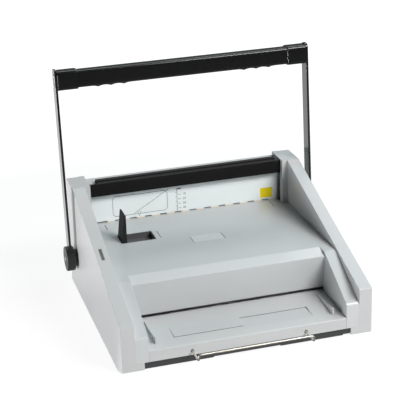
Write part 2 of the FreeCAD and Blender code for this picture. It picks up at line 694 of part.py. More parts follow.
def label_panel():
    """Upright panel with a row of notches along its foot."""
    half = POST_IN - PANEL_GAP
    y = (PANEL_Y, PANEL_Y + PANEL_T)
    panel = box((-half, half), y, (DECK_Z, PANEL_TOP))
    return panel.cut([box(span, y, (DECK_Z, DECK_Z + SLOT_H)) for span in notch_spans()])


def pressure_jaw():
    """Moving jaw: a front plate between the posts and a pressing body behind it."""
    half = POST_IN - JAW_FIT
    back = JAW_Y + JAW_PLATE_T
    plate = box((-half, half), (JAW_Y, back), (JAW_BOTTOM, JAW_TOP))
    body = box(JAW_BODY_X, (back, JAW_BACK), (JAW_BOTTOM, JAW_TOP))
    jaw = plate.fuse(body).removeSplitter()
    front_edges = [e for e in jaw.Edges if e.Length > POST_IN and e.BoundBox.YMax < JAW_Y + FIT]
    return jaw.makeFillet(JAW_PLATE_T / 4, front_edges)


def bar_guard():
    """Fixed guard behind the jaw, on top of the panel."""
    near, far = GUARD_Y
    edge = EDGE_R / 2
    section = [(near, PANEL_TOP), (near, GUARD_TOP, edge), (far, GUARD_TOP, edge), (far, PANEL_TOP)]
    return prism("x", section, *JAW_BODY_X)


def strip_channel():
    """Channel behind the panel's foot that takes the strip's pins."""
    y = PANEL_Y + PANEL_T
    half = POST_IN - PANEL_GAP
    wall = DRAWER_WALL
    section = [(y, DECK_Z), (y + CHANNEL_D, DECK_Z), (y + CHANNEL_D, DECK_Z + CHANNEL_H),
               (y + CHANNEL_D - wall, DECK_Z + CHANNEL_H), (y + CHANNEL_D - wall, DECK_Z + wall),
               (y + wall, DECK_Z + wall), (y + wall, DECK_Z + CHANNEL_H), (y, DECK_Z + CHANNEL_H)]
    return prism("x", section, -half, half)


def cutter_bar():
    """Heated cutter bar on the strip channel."""
    y = PANEL_Y + PANEL_T
    z = DECK_Z + CHANNEL_H
    rear = y + CHANNEL_D
    blade = [(y, z), (rear, z), (rear, z + CUTTER_H), (y + CHANNEL_D / 2, z + CUTTER_H),
             (y, z + CUTTER_H / 2)]
    return prism("x", blade, LONG_SLOT_X[1], POST_IN - CUTTER_IN)


def rack():
    """Right jaw rack, with its teeth to the rear."""
    tip, root = RACK_PITCH_Y + MODULE, RACK_PITCH_Y - DEDENDUM * MODULE
    lean = math.tan(math.radians(PRESSURE_ANGLE))
    half = TOOTH_PITCH / 4 - BACKLASH / 2
    front = JAW_Y + JAW_PLATE_T
    points = [(front, JAW_TOP), (front, RACK_BOTTOM), (root, RACK_BOTTOM)]
    for index in range(RACK_TEETH):
        z = PINION_Z + (index - 0.5) * TOOTH_PITCH
        wide = half + (RACK_PITCH_Y - root) * lean
        narrow = half - MODULE * lean
        if z - wide < RACK_BOTTOM:
            continue
        points += [(root, z - wide), (tip, z - narrow), (tip, z + narrow), (root, z + wide)]
    points.append((root, JAW_TOP))
    return prism("x", points, RACK_X, RACK_X + RACK_W)


def involute(angle):
    """Involute function of a pressure angle."""
    return math.tan(angle) - angle


def pinion():
    """Right pinion on the cross shaft, with involute flanks."""
    base_r = PITCH_R * math.cos(math.radians(PRESSURE_ANGLE))
    root_r, tip_r = PITCH_R - DEDENDUM * MODULE, PITCH_R + MODULE
    half_pitch = math.pi / 2 / PINION_TEETH - BACKLASH / 2 / PITCH_R
    radii = [base_r, (base_r + PITCH_R) / 2, PITCH_R, (PITCH_R + tip_r) / 2, tip_r]
    flank = [(root_r, half_pitch + involute(math.radians(PRESSURE_ANGLE)))]
    for radius in radii:
        turn = involute(math.radians(PRESSURE_ANGLE)) - involute(math.acos(base_r / radius))
        flank.append((radius, half_pitch + turn))
    points = []
    for tooth in range(PINION_TEETH):
        middle = math.pi + 2 * math.pi * tooth / PINION_TEETH
        rise = [(r, middle - turn) for r, turn in flank]
        fall = [(r, middle + turn) for r, turn in reversed(flank)]
        points += [(PINION_Y + r * math.cos(a), PINION_Z + r * math.sin(a)) for r, a in rise + fall]
    gear = prism("x", points, PINION_X, PINION_X + PINION_W)
    return gear.cut(rod("x", PRESS_SHAFT_R + FIT, (PINION_Y, PINION_Z), 0, RIM_IN))


def press_shaft():
    """Cross shaft that keeps both ends of the jaw level."""
    reach = PINION_X + PINION_W
    return rod("x", PRESS_SHAFT_R, (PINION_Y, PINION_Z), -reach, reach)


def press_bracket():
    """Right bearing bracket of the cross shaft."""
    y = (PINION_Y - BRACKET_D / 2, PINION_Y + BRACKET_D / 2)
    plate = prism("x", [(y[0], BASE_T), (y[0], PINION_Z + BRACKET_HEAD, BRACKET_HEAD / 2),
                        (y[1], PINION_Z + BRACKET_HEAD, BRACKET_HEAD / 2), (y[1], BASE_T)],
                  BRACKET_X, BRACKET_X + BRACKET_T)
    foot = box((BRACKET_X - BRACKET_D / 2, BRACKET_X), y, (BASE_T, BASE_T + BRACKET_T / 2))
    bore = rod("x", PRESS_SHAFT_R + RUN_FIT, (PINION_Y, PINION_Z), 0, RIM_IN)
    return plate.fuse(foot).cut(bore).removeSplitter()


def gear_motor():
    """Gearbox on the cross shaft, with its motor beside it."""
    near, far = PINION_Y - GEARBOX_D / 2, PINION_Y + GEARBOX_D / 2
    corner = BRACKET_HEAD / 2
    section = [(near, BASE_T), (near, GEARBOX_H, corner), (far, GEARBOX_H, corner), (far, BASE_T)]
    case = prism("x", section, *GEARBOX_X)
    centre = (PINION_Y, MOTOR_Z)
    start = GEARBOX_X[1]
    end = start + MOTOR_L
    can = rod("x", MOTOR_R, centre, start, end)
    nose = rod("x", MOTOR_R / 3, centre, end, end + BRACKET_T)
    bore = rod("x", PRESS_SHAFT_R + RUN_FIT, (PINION_Y, PINION_Z), -RIM_IN, RIM_IN)
    return case.fuse([can, nose]).cut(bore).removeSplitter()


def stop_tray_block(inset):
    """Block of the edge stop's recess, set in from its outer walls and floor."""
    left = STOP_PIVOT_X - STOP_ROOT_T / 2 - STOP_FIT - STOP_TRAY_T
    y = (STOP_Y[0] - STOP_FIT - STOP_TRAY_T, STOP_Y[1] + STOP_FIT + STOP_TRAY_T)
    z = (DECK_Z - STOP_TRAY_DEPTH - STOP_TRAY_T, DECK_Z)
    right = left + STOP_TRAY_L + 2 * STOP_TRAY_T
    return box((left + inset, right - inset), (y[0] + inset, y[1] - inset), (z[0] + inset, z[1]))


def edge_stop_tray():
    """Dark recess in the deck that the edge stop folds into."""
    tray = stop_tray_block(0).cut(stop_tray_block(STOP_TRAY_T))
    return tray.cut(stop_pin_rod(STOP_PIN_R + FIT))


def edge_stop_pin():
    """Hinge pin of the edge stop."""
    return stop_pin_rod(STOP_PIN_R)


def stop_pin_rod(radius):
    """Round bar from wall to wall of the edge stop's recess."""
    reach = STOP_FIT + STOP_TRAY_T
    return rod("y", radius, (STOP_PIVOT_X, STOP_PIVOT_Z), STOP_Y[0] - reach, STOP_Y[1] + reach)


def edge_stop():
    """Flip-up stop: a tapering blade on a barrel."""
    blade = [(STOP_X, STOP_PIVOT_Z), (STOP_X, STOP_TOP), (STOP_X - STOP_TIP_T, STOP_TOP),
             (STOP_X - STOP_ROOT_T, DECK_Z + STOP_BARREL_R), (STOP_X - STOP_ROOT_T, STOP_PIVOT_Z)]
    stop = prism("y", blade, *STOP_Y)
    stop = stop.fuse(rod("y", STOP_BARREL_R, (STOP_PIVOT_X, STOP_PIVOT_Z), *STOP_Y))
    return stop.cut(rod("y", STOP_PIN_R + RUN_FIT, (STOP_PIVOT_X, STOP_PIVOT_Z), *STOP_Y)).removeSplitter()


def badge_plate():
    """Bare plate in the deck."""
    x = (BADGE_X[0] + SEAM, BADGE_X[1] - SEAM)
    y = (BADGE_Y[0] + SEAM, BADGE_Y[1] - SEAM)
    return box(x, y, (DECK_Z - BADGE_DEPTH, DECK_Z - BADGE_DEPTH + BADGE_T))


def arm_blank(grow):
    """Upright right handle arm; grow widens it for the pocket in its hub."""
    half = ARM_W / 2 + grow
    points = [(PIVOT_Y - half, PIVOT_Z), (PIVOT_Y - half, PIVOT_Z + ARM_L, ARM_TIP_R),
              (PIVOT_Y + half, PIVOT_Z + ARM_L, ARM_TIP_R), (PIVOT_Y + half, PIVOT_Z)]
    low, high = ARM_X - grow, ARM_X + ARM_T + grow
    return prism("x", points, low, high).fuse(rod("x", half, (PIVOT_Y, PIVOT_Z), low, high)).removeSplitter()


def shaft_bore(reach):
    """Hole for the pivot shaft out to a given half width."""
    return rod("x", SHAFT_R + FIT, (PIVOT_Y, PIVOT_Z), 0, reach)


def handle_arm():
    """Right handle arm: a flat steel bar with holes for the shaft and the grip screws."""
    arm = arm_blank(0).cut(shaft_bore(HUB_OUT))
    holes = [grip_screw_rod(GRIP_SCREW_R / 2 + FIT, z, ARM_X, ARM_X + ARM_T) for z in GRIP_SCREW_Z]
    return arm.cut(holes)


def grip_screw_rod(radius, height, low, high):
    """Round bar at a grip screw."""
    return rod("x", radius, (PIVOT_Y, PIVOT_Z + height), low, high)


def hub():
    """Right hub: a thick disc with a smaller flange against the side wall and a pocket for the arm."""
    start = wall_x(PIVOT_Y, PIVOT_Z) + HUB_GAP
    disc = rod("x", HUB_R, (PIVOT_Y, PIVOT_Z), HUB_OUT - HUB_T, HUB_OUT)
    rims = [e for e in disc.Edges if e.Curve.TypeId == "Part::GeomCircle"]
    disc = disc.makeFillet(HUB_EDGE_R, rims)
    flange = rod("x", HUB_FLANGE_R, (PIVOT_Y, PIVOT_Z), start, HUB_OUT - HUB_T)
    bored = disc.fuse(flange).cut(arm_blank(FIT)).cut(shaft_bore(HUB_OUT - WALL_T))
    screw_hole = rod("x", HUB_SCREW_R / 2 + FIT, (PIVOT_Y, PIVOT_Z), 0, HUB_OUT + WALL_T)
    return bored.cut(screw_hole).removeSplitter()


def handle_screws():
    """Screws of both hubs and both grip ends."""
    centre = (PIVOT_Y, PIVOT_Z)
    head = rod("x", HUB_SCREW_R, centre, HUB_OUT, HUB_OUT + SCREW_HEAD)
    screws = [head.fuse(rod("x", HUB_SCREW_R / 2, centre, HUB_OUT - WALL_T, HUB_OUT)).removeSplitter()]
    outer = ARM_X + ARM_T
    for z in GRIP_SCREW_Z:
        head = grip_screw_rod(GRIP_SCREW_R, z, outer, outer + SCREW_HEAD)
        screws.append(head.fuse(grip_screw_rod(GRIP_SCREW_R / 2, z, ARM_X, outer)).removeSplitter())
    return group([leaned(s) for s in screws] + [mirrored(leaned(s)) for s in screws])


def grip_points(inset):
    """Grip section, set in from its caps' surface."""
    front = PIVOT_Y - GRIP_AHEAD + inset
    rear = PIVOT_Y - GRIP_AHEAD + GRIP_D - inset
    top, bottom = PIVOT_Z + GRIP_TOP - inset, PIVOT_Z + GRIP_TOP - GRIP_H + inset
    radius = GRIP_R - inset / 2
    return [(front, bottom, radius), (front, top, radius), (rear, top, radius), (rear, bottom, radius)]


def grip_cap():
    """Right end cap of the grip, with a plug into the grip."""
    cap = prism("x", grip_points(0), GRIP_HALF, ARM_X)
    plug = prism("x", grip_points(GRIP_STEP + CAP_PLUG_IN), GRIP_HALF - CAP_PLUG_L, GRIP_HALF)
    return cap.fuse(plug).removeSplitter()


def handle_grip():
    """Grip bar: a tube with finger ridges below, near both ends."""
    grip = prism("x", grip_points(GRIP_STEP), -GRIP_HALF, GRIP_HALF)
    bottom = PIVOT_Z + GRIP_TOP - GRIP_H + GRIP_STEP
    front = PIVOT_Y - GRIP_AHEAD
    margin = GRIP_STEP + RIDGE_MARGIN
    y = (front + margin, front + GRIP_D - margin)
    half = RIDGE_PITCH / 2
    radius = (half ** 2 + RIDGE_H ** 2) / (2 * RIDGE_H)
    strip = box((RIDGE_X[0] - half, RIDGE_X[-1] + half), y, (bottom - RIDGE_H, bottom + RIDGE_H))
    hollows = [RIDGE_X[0] - half] + [x + half for x in RIDGE_X]
    for x in hollows:
        strip = strip.cut(rod("y", radius, (x, bottom - radius), y[0], y[1]))
    grip = grip.fuse([strip, mirrored(strip)])
    bore = prism("x", grip_points(GRIP_STEP + CAP_PLUG_IN - FIT), -GRIP_HALF, GRIP_HALF)
    return grip.cut(bore).removeSplitter()


def pivot_shaft():
    """Cross shaft under the deck, from hub to hub."""
    reach = HUB_OUT - WALL_T
    centre = (PIVOT_Y, PIVOT_Z)
    shaft = rod("x", SHAFT_R, centre, -reach, reach)
    tapped = rod("x", HUB_SCREW_R / 2 + FIT, centre, reach - CAP_PLUG_L, reach)
    return shaft.cut([tapped, mirrored(tapped)])


def shaft_bush():
    """Right bearing bush, through the chassis plate and the side panel."""
    start = CHASSIS_X - SIDE_PLAY
    bush = rod("x", BUSH_R - FIT, (PIVOT_Y, PIVOT_Z), start, wall_x(PIVOT_Y, PIVOT_Z))
    return bush.cut(rod("x", SHAFT_R + RUN_FIT, (PIVOT_Y, PIVOT_Z), 0, 2 * WALL_OUT))


def crank():
    """Right crank disc with its pin; the pin stands half a swing behind the top at rest."""
    disc = rod("x", CRANK_DISC_R, (PIVOT_Y, PIVOT_Z), CRANK_X, CRANK_X + CRANK_DISC_T)
    end = SLIDE_X + SLIDE_T + SIDE_PLAY
    pin = rod("x", CRANK_PIN_R, (YOKE_Y, CRANK_PIN_Z), CRANK_X + CRANK_DISC_T, end)
    return disc.fuse(pin).cut(shaft_bore(CRANK_X + CRANK_DISC_T)).removeSplitter()


def chassis_plate():
    """Right chassis plate, standing on the side panel's base flange."""
    near, far = CHASSIS_Y
    corner = 4 * WALL_T
    plate = prism("x", [(near, FOOT_H), (near, CHASSIS_TOP), (far, CHASSIS_TOP, corner), (far, FOOT_H)],
                  CHASSIS_X, CHASSIS_X + CHASSIS_T)
    holes = [rod("x", BUSH_R, (PIVOT_Y, PIVOT_Z), 0, RIM_IN)]
    for y in SLIDE_PIN_Y:
        holes.append(rod("x", SLIDE_PIN_R + FIT, (y, SLIDE_PIN_Z), 0, RIM_IN))
    middle = sum(SLIDE_PIN_Y) / 2
    lightening = slot("x", (SLIDE_PIN_Y[0], PIVOT_Z - BUSH_R), (middle, PIVOT_Z - BUSH_R), BUSH_R, 0, RIM_IN)
    return plate.cut(holes + [lightening])


def slide_guide_pins():
    """Headed pins in the chassis plates that carry the cam slides."""
    pins = []
    for y in SLIDE_PIN_Y:
        centre = (y, SLIDE_PIN_Z)
        shank = rod("x", SLIDE_PIN_R, centre, SLIDE_X - SIDE_PLAY, CHASSIS_X + CHASSIS_T)
        head = rod("x", SLIDE_PIN_HEAD_R, centre, SLIDE_X - SIDE_PLAY - WALL_T, SLIDE_X - SIDE_PLAY)
        collar = rod("x", SLIDE_PIN_HEAD_R, centre, SLIDE_X + SLIDE_T + SIDE_PLAY, CHASSIS_X)
        pins.append(shank.fuse([head, collar]).removeSplitter())
    return group(pins + [mirrored(pin) for pin in pins])


def cam_slide():
    """Right cam slide: a fork for the crank pin behind, an inclined slot for the punch beam in front."""
    rear = YOKE_Y + CRANK_PIN_R + YOKE_PLAY + SLIDE_TINE
    nose = SLIDE_FRONT + SLIDE_NOSE_D
    chamfer = 2 * FOLLOWER_R
    points = [(SLIDE_FRONT, SLIDE_NOSE_BOTTOM), (SLIDE_FRONT, SLIDE_TOP - chamfer),
              (SLIDE_FRONT + chamfer, SLIDE_TOP), (rear, SLIDE_TOP), (rear, SLIDE_BOTTOM),
              (nose, SLIDE_BOTTOM, SLIDE_TINE), (nose, SLIDE_NOSE_BOTTOM)]
    low, high = SLIDE_X, SLIDE_X + SLIDE_T
    plate = prism("x", points, low, high)
    cam_end = (PUNCH_Y + SLIDE_STROKE, FOLLOWER_Z - PUNCH_TRAVEL)
    cuts = [slot("x", (PUNCH_Y, FOLLOWER_Z), cam_end, FOLLOWER_R + SLIDE_FIT, low, high)]
    for y in SLIDE_PIN_Y:
        end = (y + SLIDE_STROKE, SLIDE_PIN_Z)
        cuts.append(slot("x", (y, SLIDE_PIN_Z), end, SLIDE_PIN_R + SLIDE_FIT, low, high))
    top = (YOKE_Y, PIVOT_Z + CRANK_R + YOKE_PLAY)
    cuts.append(slot("x", (YOKE_Y, SLIDE_BOTTOM - CRANK_PIN_R), top, CRANK_PIN_R + YOKE_PLAY, low, high))
    return plate.cut(cuts)


def slide_tie_bar():
    """Round bar that ties the two cam slides together."""
    z = SLIDE_TOP - TIE_R - EDGE_R
    return rod("x", TIE_R, (TIE_Y, z), -SLIDE_X, SLIDE_X)


def punch_xs():
    """Places of the punch pins along the sheet."""
    return [(index - (PUNCH_COUNT - 1) / 2) * SLOT_PITCH for index in range(PUNCH_COUNT)]


def punch_beam():
    """Beam that carries the punch pins, with a follower at each end."""
    y = (PUNCH_Y - BEAM_W / 2, PUNCH_Y + BEAM_W / 2)
    beam = box((-BEAM_HALF, BEAM_HALF), y, (BEAM_BOTTOM, BEAM_BOTTOM + BEAM_H))
    end = SLIDE_X + SLIDE_T + SIDE_PLAY
    follower = rod("x", FOLLOWER_R, (PUNCH_Y, FOLLOWER_Z), BEAM_HALF, end)
    return beam.fuse([follower, mirrored(follower)]).removeSplitter()


def punch_pins():
    """Row of punch pins under the beam."""
    tip = THROAT_ROOF + PUNCH_LIFT
    return group([rod("z", PUNCH_R, (x, PUNCH_Y), tip, BEAM_BOTTOM) for x in punch_xs()])


def punched(plate):
    """Plate with a row of holes for the punch pins."""
    return plate.cut([rod("z", PUNCH_R + PUNCH_FIT, (x, PUNCH_Y), 0, DECK_Z) for x in punch_xs()])


def die_plate():
    """Die under the throat."""
    y = (DIE_FRONT, DIE_FRONT + DIE_D)
    return punched(box((-CHASSIS_X, CHASSIS_X), y, (TRAY_REAR_H - DIE_T, TRAY_REAR_H)))


def throat_stop():
    """Bar at the back of the throat that the sheets stop against."""
    return box((-CHASSIS_X, CHASSIS_X), (DIE_FRONT + THROAT_D, DIE_FRONT + DIE_D), (TRAY_REAR_H, THROAT_ROOF))


def punch_guide_plate():
    """Plate above the throat that guides the punch pins."""
    front = THROAT_Y + DECK_T + SEAM
    return punched(box((-CHASSIS_X, CHASSIS_X), (front, DIE_FRONT + DIE_D), (THROAT_ROOF, GUIDE_PLATE_TOP)))


def rear_cover():
    """Rear cover with vents, openings for the inlet and the switch, and a flange behind the guard."""
    y = (REAR_IN, BODY_D)
    half = RIM_IN - SEAM
    cover = box((-half, half), y, (SEAM, REAR_TOP))
    top_half = POST_IN - SEAM
    level = (REAR_TOP - DECK_T, REAR_TOP)
    cover = cover.fuse(box((-top_half, top_half), (GUARD_Y[1], REAR_IN), level))
    for ear in ((-top_half, JAW_BODY_X[0] - SEAM), (JAW_BODY_X[1] + SEAM, top_half)):
        cover = cover.fuse(box(ear, (GUARD_Y[1] - EAR_D, GUARD_Y[1]), level))
    cuts = []
    for index in range(VENT_COUNT):
        x = VENT_X + (index - (VENT_COUNT - 1) / 2) * VENT_PITCH
        cuts.append(slot("y", (x, VENT_Z - VENT_H / 2), (x, VENT_Z + VENT_H / 2), VENT_W / 2, *y))
    for x, width, height in ((INLET_X, INLET_W, INLET_H), (SWITCH_X, SWITCH_W, SWITCH_H)):
        cuts.append(box((x - width / 2, x + width / 2), y, (INLET_Z - height / 2, INLET_Z + height / 2)))
    for x in (-cover_screw_x(), cover_screw_x()):
        for z in COVER_SCREW_Z:
            cuts.append(rod("y", COVER_SCREW_R + FIT, (x, z), *y))
            cuts.append(rod("y", COVER_SCREW_HEAD_R + FIT, (x, z), BODY_D - REAR_T / 2, BODY_D))
    return cover.cut(cuts).removeSplitter()


def cover_screws():
    """Screws that hold the rear cover to the posts, with sunk heads."""
    screws = []
    for z in COVER_SCREW_Z:
        centre = (cover_screw_x(), z)
        shank = rod("y", COVER_SCREW_R, centre, REAR_IN - COVER_SCREW_L, BODY_D - REAR_T / 2)
        head = rod("y", COVER_SCREW_HEAD_R, centre, BODY_D - REAR_T / 2, BODY_D - SEAM)
        screws.append(shank.fuse(head).removeSplitter())
    return group(screws + [mirrored(screw) for screw in screws])


def power_inlet():
    """Mains inlet behind the rear cover, with three contact blades."""
    half_w, half_h = INLET_W / 2, INLET_H / 2
    x, z = (INLET_X - half_w, INLET_X + half_w), (INLET_Z - half_h, INLET_Z + half_h)
    body = box(x, (REAR_IN - INLET_D, REAR_IN), z)
    rim = INLET_FLANGE
    flange = box((x[0] - rim, x[1] + rim), (REAR_IN - rim, REAR_IN), (z[0] - rim, z[1] + rim))
    wall = INLET_WALL
    cavity = box((x[0] + wall, x[1] - wall), (REAR_IN - INLET_CAVITY_D, REAR_IN), (z[0] + wall, z[1] - wall))
    inlet = body.fuse(flange).cut(cavity)
    width, reach, height = INLET_PIN
    floor = REAR_IN - INLET_CAVITY_D
    for step in (-1, 0, 1):
        px = INLET_X + step * INLET_PIN_PITCH
        pz = INLET_Z + INLET_WALL * (1 - abs(step))
        inlet = inlet.fuse(box((px - width / 2, px + width / 2), (floor, floor + reach), (pz, pz + height)))
    return inlet.removeSplitter()


def switch_frame():
    """Frame of the rocker switch, behind the rear cover."""
    half_w, half_h = SWITCH_W / 2, SWITCH_H / 2
    rim = INLET_FLANGE
    x = (SWITCH_X - half_w - rim, SWITCH_X + half_w + rim)
    z = (INLET_Z - half_h - rim, INLET_Z + half_h + rim)
    body = box(x, (REAR_IN - SWITCH_D, REAR_IN), z)
    cavity = box((SWITCH_X - half_w, SWITCH_X + half_w), (REAR_IN - SWITCH_D + INLET_WALL, REAR_IN),
                 (INLET_Z - half_h, INLET_Z + half_h))
    pin = rod("x", ROCKER_PIN_R, (rocker_y(), INLET_Z), SWITCH_X - half_w, SWITCH_X + half_w)
    return body.cut(cavity).fuse(pin).removeSplitter()


def rocker_y():
    """Depth of the rocker's pivot."""
    return REAR_IN - SWITCH_D / 4


def power_rocker():
    """Rocker with two flat faces, one pressed in."""
    half_w, half_h = SWITCH_W / 2 - ROCKER_FIT, ROCKER_H / 2
    y = rocker_y()
    face = BODY_D - REAR_T / 2
    low = REAR_IN - ROCKER_PROUD / 2
    points = [(y - ROCKER_PIN_R - ROCKER_PROUD, INLET_Z), (y, INLET_Z + half_h), (low, INLET_Z + half_h),
              (low + ROCKER_PROUD / 2, INLET_Z), (face, INLET_Z - half_h), (y, INLET_Z - half_h)]
    rocker = prism("x", points, SWITCH_X - half_w, SWITCH_X + half_w)
    return rocker.cut(rod("x", ROCKER_PIN_R + RUN_FIT, (y, INLET_Z), SWITCH_X - half_w, SWITCH_X + half_w))


def control_board():
    """Control board on standoffs, with a transformer and two capacitors."""
    z = BASE_T + STANDOFF_H
    board = box(BOARD_X, BOARD_Y, (z, z + BOARD_T))
    inset = 2 * STANDOFF_R
    for x in (BOARD_X[0] + inset, BOARD_X[1] - inset):
        for y in (BOARD_Y[0] + inset, BOARD_Y[1] - inset):
            board = board.fuse(rod("z", STANDOFF_R, (x, y), BASE_T, z))
    top = z + BOARD_T
    mid_y = sum(BOARD_Y) / 2
    core_x = (BOARD_X[0] + 2 * inset, BOARD_X[0] + 7 * inset)
    core_y = (mid_y - 2 * inset, mid_y + 2 * inset)
    board = board.fuse(box(core_x, core_y, (top, top + 4 * STANDOFF_H)))
    for y in core_y:
        can = rod("z", 2 * STANDOFF_R, (BOARD_X[1] - 3 * inset, y), top, top + 3 * STANDOFF_H)
        board = board.fuse(can)
    return board.removeSplitter()


def rubber_feet():
    """Four rubber feet under the side panels."""
    feet = []
    for y in FEET_Y:
        foot = rod("z", FEET_R, (FEET_X, y), -FEET_H, 0)
        feet.append(foot)
    return group(feet + [mirrored(foot) for foot in feet])


def pieces():
    """Every piece by name, in the modelling position."""
    parts = {
        "left_side_panel": left_side_panel(),
        "right_side_panel": side_panel(),
        "deck_cover": deck_cover(),
        "punch_tray": punch_tray(),
        "base_plate": base_plate(),
        "rear_cover": rear_cover(),
        "cover_screws": cover_screws(),
        "label_panel": label_panel(),
        "bar_guard": bar_guard(),
        "strip_channel": strip_channel(),
        "cutter_bar": cutter_bar(),
        "badge_plate": badge_plate(),
        "status_window": window_prism(WINDOW_T, WINDOW_SINK),
        "edge_stop_tray": edge_stop_tray(),
        "edge_stop_pin": edge_stop_pin(),
        "edge_stop": edge_stop(),
        "die_plate": die_plate(),
        "throat_stop": throat_stop(),
        "punch_guide_plate": punch_guide_plate(),
        "punch_beam": punch_beam(),
        "punch_pins": punch_pins(),
        "slide_guide_pins": slide_guide_pins(),
        "slide_tie_bar": slide_tie_bar(),
        "pressure_jaw": pressure_jaw(),
        "press_shaft": press_shaft(),
        "gear_motor": gear_motor(),
        "control_board": control_board(),
        "power_inlet": power_inlet(),
        "switch_frame": switch_frame(),
        "power_rocker": power_rocker(),
        "rubber_feet": rubber_feet(),
        "wire_support": wire_support(),
        "chip_drawer": chip_drawer(),
        "handle_grip": leaned(handle_grip()),
        "handle_screws": handle_screws(),
        "pivot_shaft": pivot_shaft(),
    }
    pairs = {
        "paper_guide": paper_guide(),
        "chassis_plate": chassis_plate(),
        "shaft_bush": shaft_bush(),
        "press_bracket": press_bracket(),
        "rack": rack(),
        "pinion": pinion(),
        "cam_slide": cam_slide(),
        "crank": crank(),
        "hub": leaned(hub()),
        "handle_arm": leaned(handle_arm()),
        "grip_cap": leaned(grip_cap()),
    }
    for name, shape in pairs.items():
        parts["right_" + name] = shape
        parts["left_" + name] = mirrored(shape)
    return parts


def main():
    """Write one file per piece, at the part's origin."""
    os.makedirs("parts", exist_ok=True)
    for name, shape in pieces().items():
        placed = shape.copy()
        placed.translate(Vec(0, FRONT, FEET_H))
        placed.exportStep("parts/" + name + ".step")


main()
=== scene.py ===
"""Looks of a desk-top strip binding machine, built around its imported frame.

The frame holds every rigid piece at its real size. This script gives each piece its finish, adds the
print on the upright panel and the fine fittings, and sets up the studio and the camera.
"""

from __future__ import annotations

import json
import logging
import math
from dataclasses import dataclass
from enum import Enum
from typing import Any, Iterable, Mapping, Sequence, Union

import bmesh
import bpy
from mathutils import Matrix, Quaternion, Vector

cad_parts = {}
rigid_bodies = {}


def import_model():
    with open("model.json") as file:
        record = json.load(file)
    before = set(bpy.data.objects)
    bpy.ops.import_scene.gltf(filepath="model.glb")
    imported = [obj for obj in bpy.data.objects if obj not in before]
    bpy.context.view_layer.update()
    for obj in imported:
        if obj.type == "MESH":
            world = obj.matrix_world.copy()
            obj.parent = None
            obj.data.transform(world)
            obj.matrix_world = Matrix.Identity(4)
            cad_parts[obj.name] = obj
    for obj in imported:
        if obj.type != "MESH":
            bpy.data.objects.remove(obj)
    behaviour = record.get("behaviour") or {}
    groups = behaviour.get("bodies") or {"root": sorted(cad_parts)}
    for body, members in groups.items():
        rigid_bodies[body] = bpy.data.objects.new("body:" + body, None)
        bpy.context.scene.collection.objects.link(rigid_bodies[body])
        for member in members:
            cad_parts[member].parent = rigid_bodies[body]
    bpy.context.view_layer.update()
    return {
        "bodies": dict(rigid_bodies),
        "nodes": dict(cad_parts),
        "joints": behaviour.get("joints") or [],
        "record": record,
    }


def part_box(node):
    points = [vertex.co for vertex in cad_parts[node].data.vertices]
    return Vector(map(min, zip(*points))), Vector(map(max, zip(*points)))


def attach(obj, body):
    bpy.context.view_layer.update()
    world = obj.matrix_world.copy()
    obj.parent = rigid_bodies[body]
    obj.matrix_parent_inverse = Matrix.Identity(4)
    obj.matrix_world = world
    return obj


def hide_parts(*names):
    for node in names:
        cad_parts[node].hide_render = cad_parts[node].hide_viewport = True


LOG = logging.getLogger("binding_machine")
MM = 0.001
DIGIT_SHARE = 0.7        # height of a digit, as a share of the type's size
EDGE_SAMPLES = 6         # rays that soften an edge
MIX_COLORS = (6, 7)      # a colour Mix node's two colour inputs
MIX_RESULT = 2           # and its colour output
MERGE = 0.001 * MM       # points nearer than this become one

Color = tuple[float, float, float]
Point = tuple[float, float, float]
Spot = tuple[float, float]
Value = Union["Signal", float]


class Body(str, Enum):
    """Moving groups of the machine that added pieces ride on."""

    HOUSING = "housing"
    HANDLE = "handle"


class Signal:
    """One node output, with arithmetic that adds Math nodes."""

    def __init__(self, graph: Graph, socket: bpy.types.NodeSocket) -> None:
        """Keep the output and the graph that it belongs to."""
        self.graph = graph
        self.socket = socket

    def math(self, operation: str, other: Value = 0.0, swapped: bool = False) -> Signal:
        """Combine this value with another in one Math node.

        Args:
            operation: Name of the Math node's operation.
            other: The second value.
            swapped: True to put the other value first.

        Returns:
            The node's result.
        """
        pair = (other, self) if swapped else (self, other)
        return self.graph.node("ShaderNodeMath", {"operation": operation}, {0: pair[0], 1: pair[1]})

    def __add__(self, other: Value) -> Signal:
        """Sum."""
        return self.math("ADD", other)

    def __radd__(self, other: Value) -> Signal:
        """Sum, with a number first."""
        return self.math("ADD", other, True)

    def __sub__(self, other: Value) -> Signal:
        """Difference."""
        return self.math("SUBTRACT", other)

    def __rsub__(self, other: Value) -> Signal:
        """Difference, with a number first."""
        return self.math("SUBTRACT", other, True)

    def __mul__(self, other: Value) -> Signal:
        """Product."""
        return self.math("MULTIPLY", other)

    def __rmul__(self, other: Value) -> Signal:
        """Product, with a number first."""
        return self.math("MULTIPLY", other, True)

    def limited(self) -> Signal:
        """This value held between 0 and 1."""
        return self.math("MINIMUM", 1.0).math("MAXIMUM", 0.0)


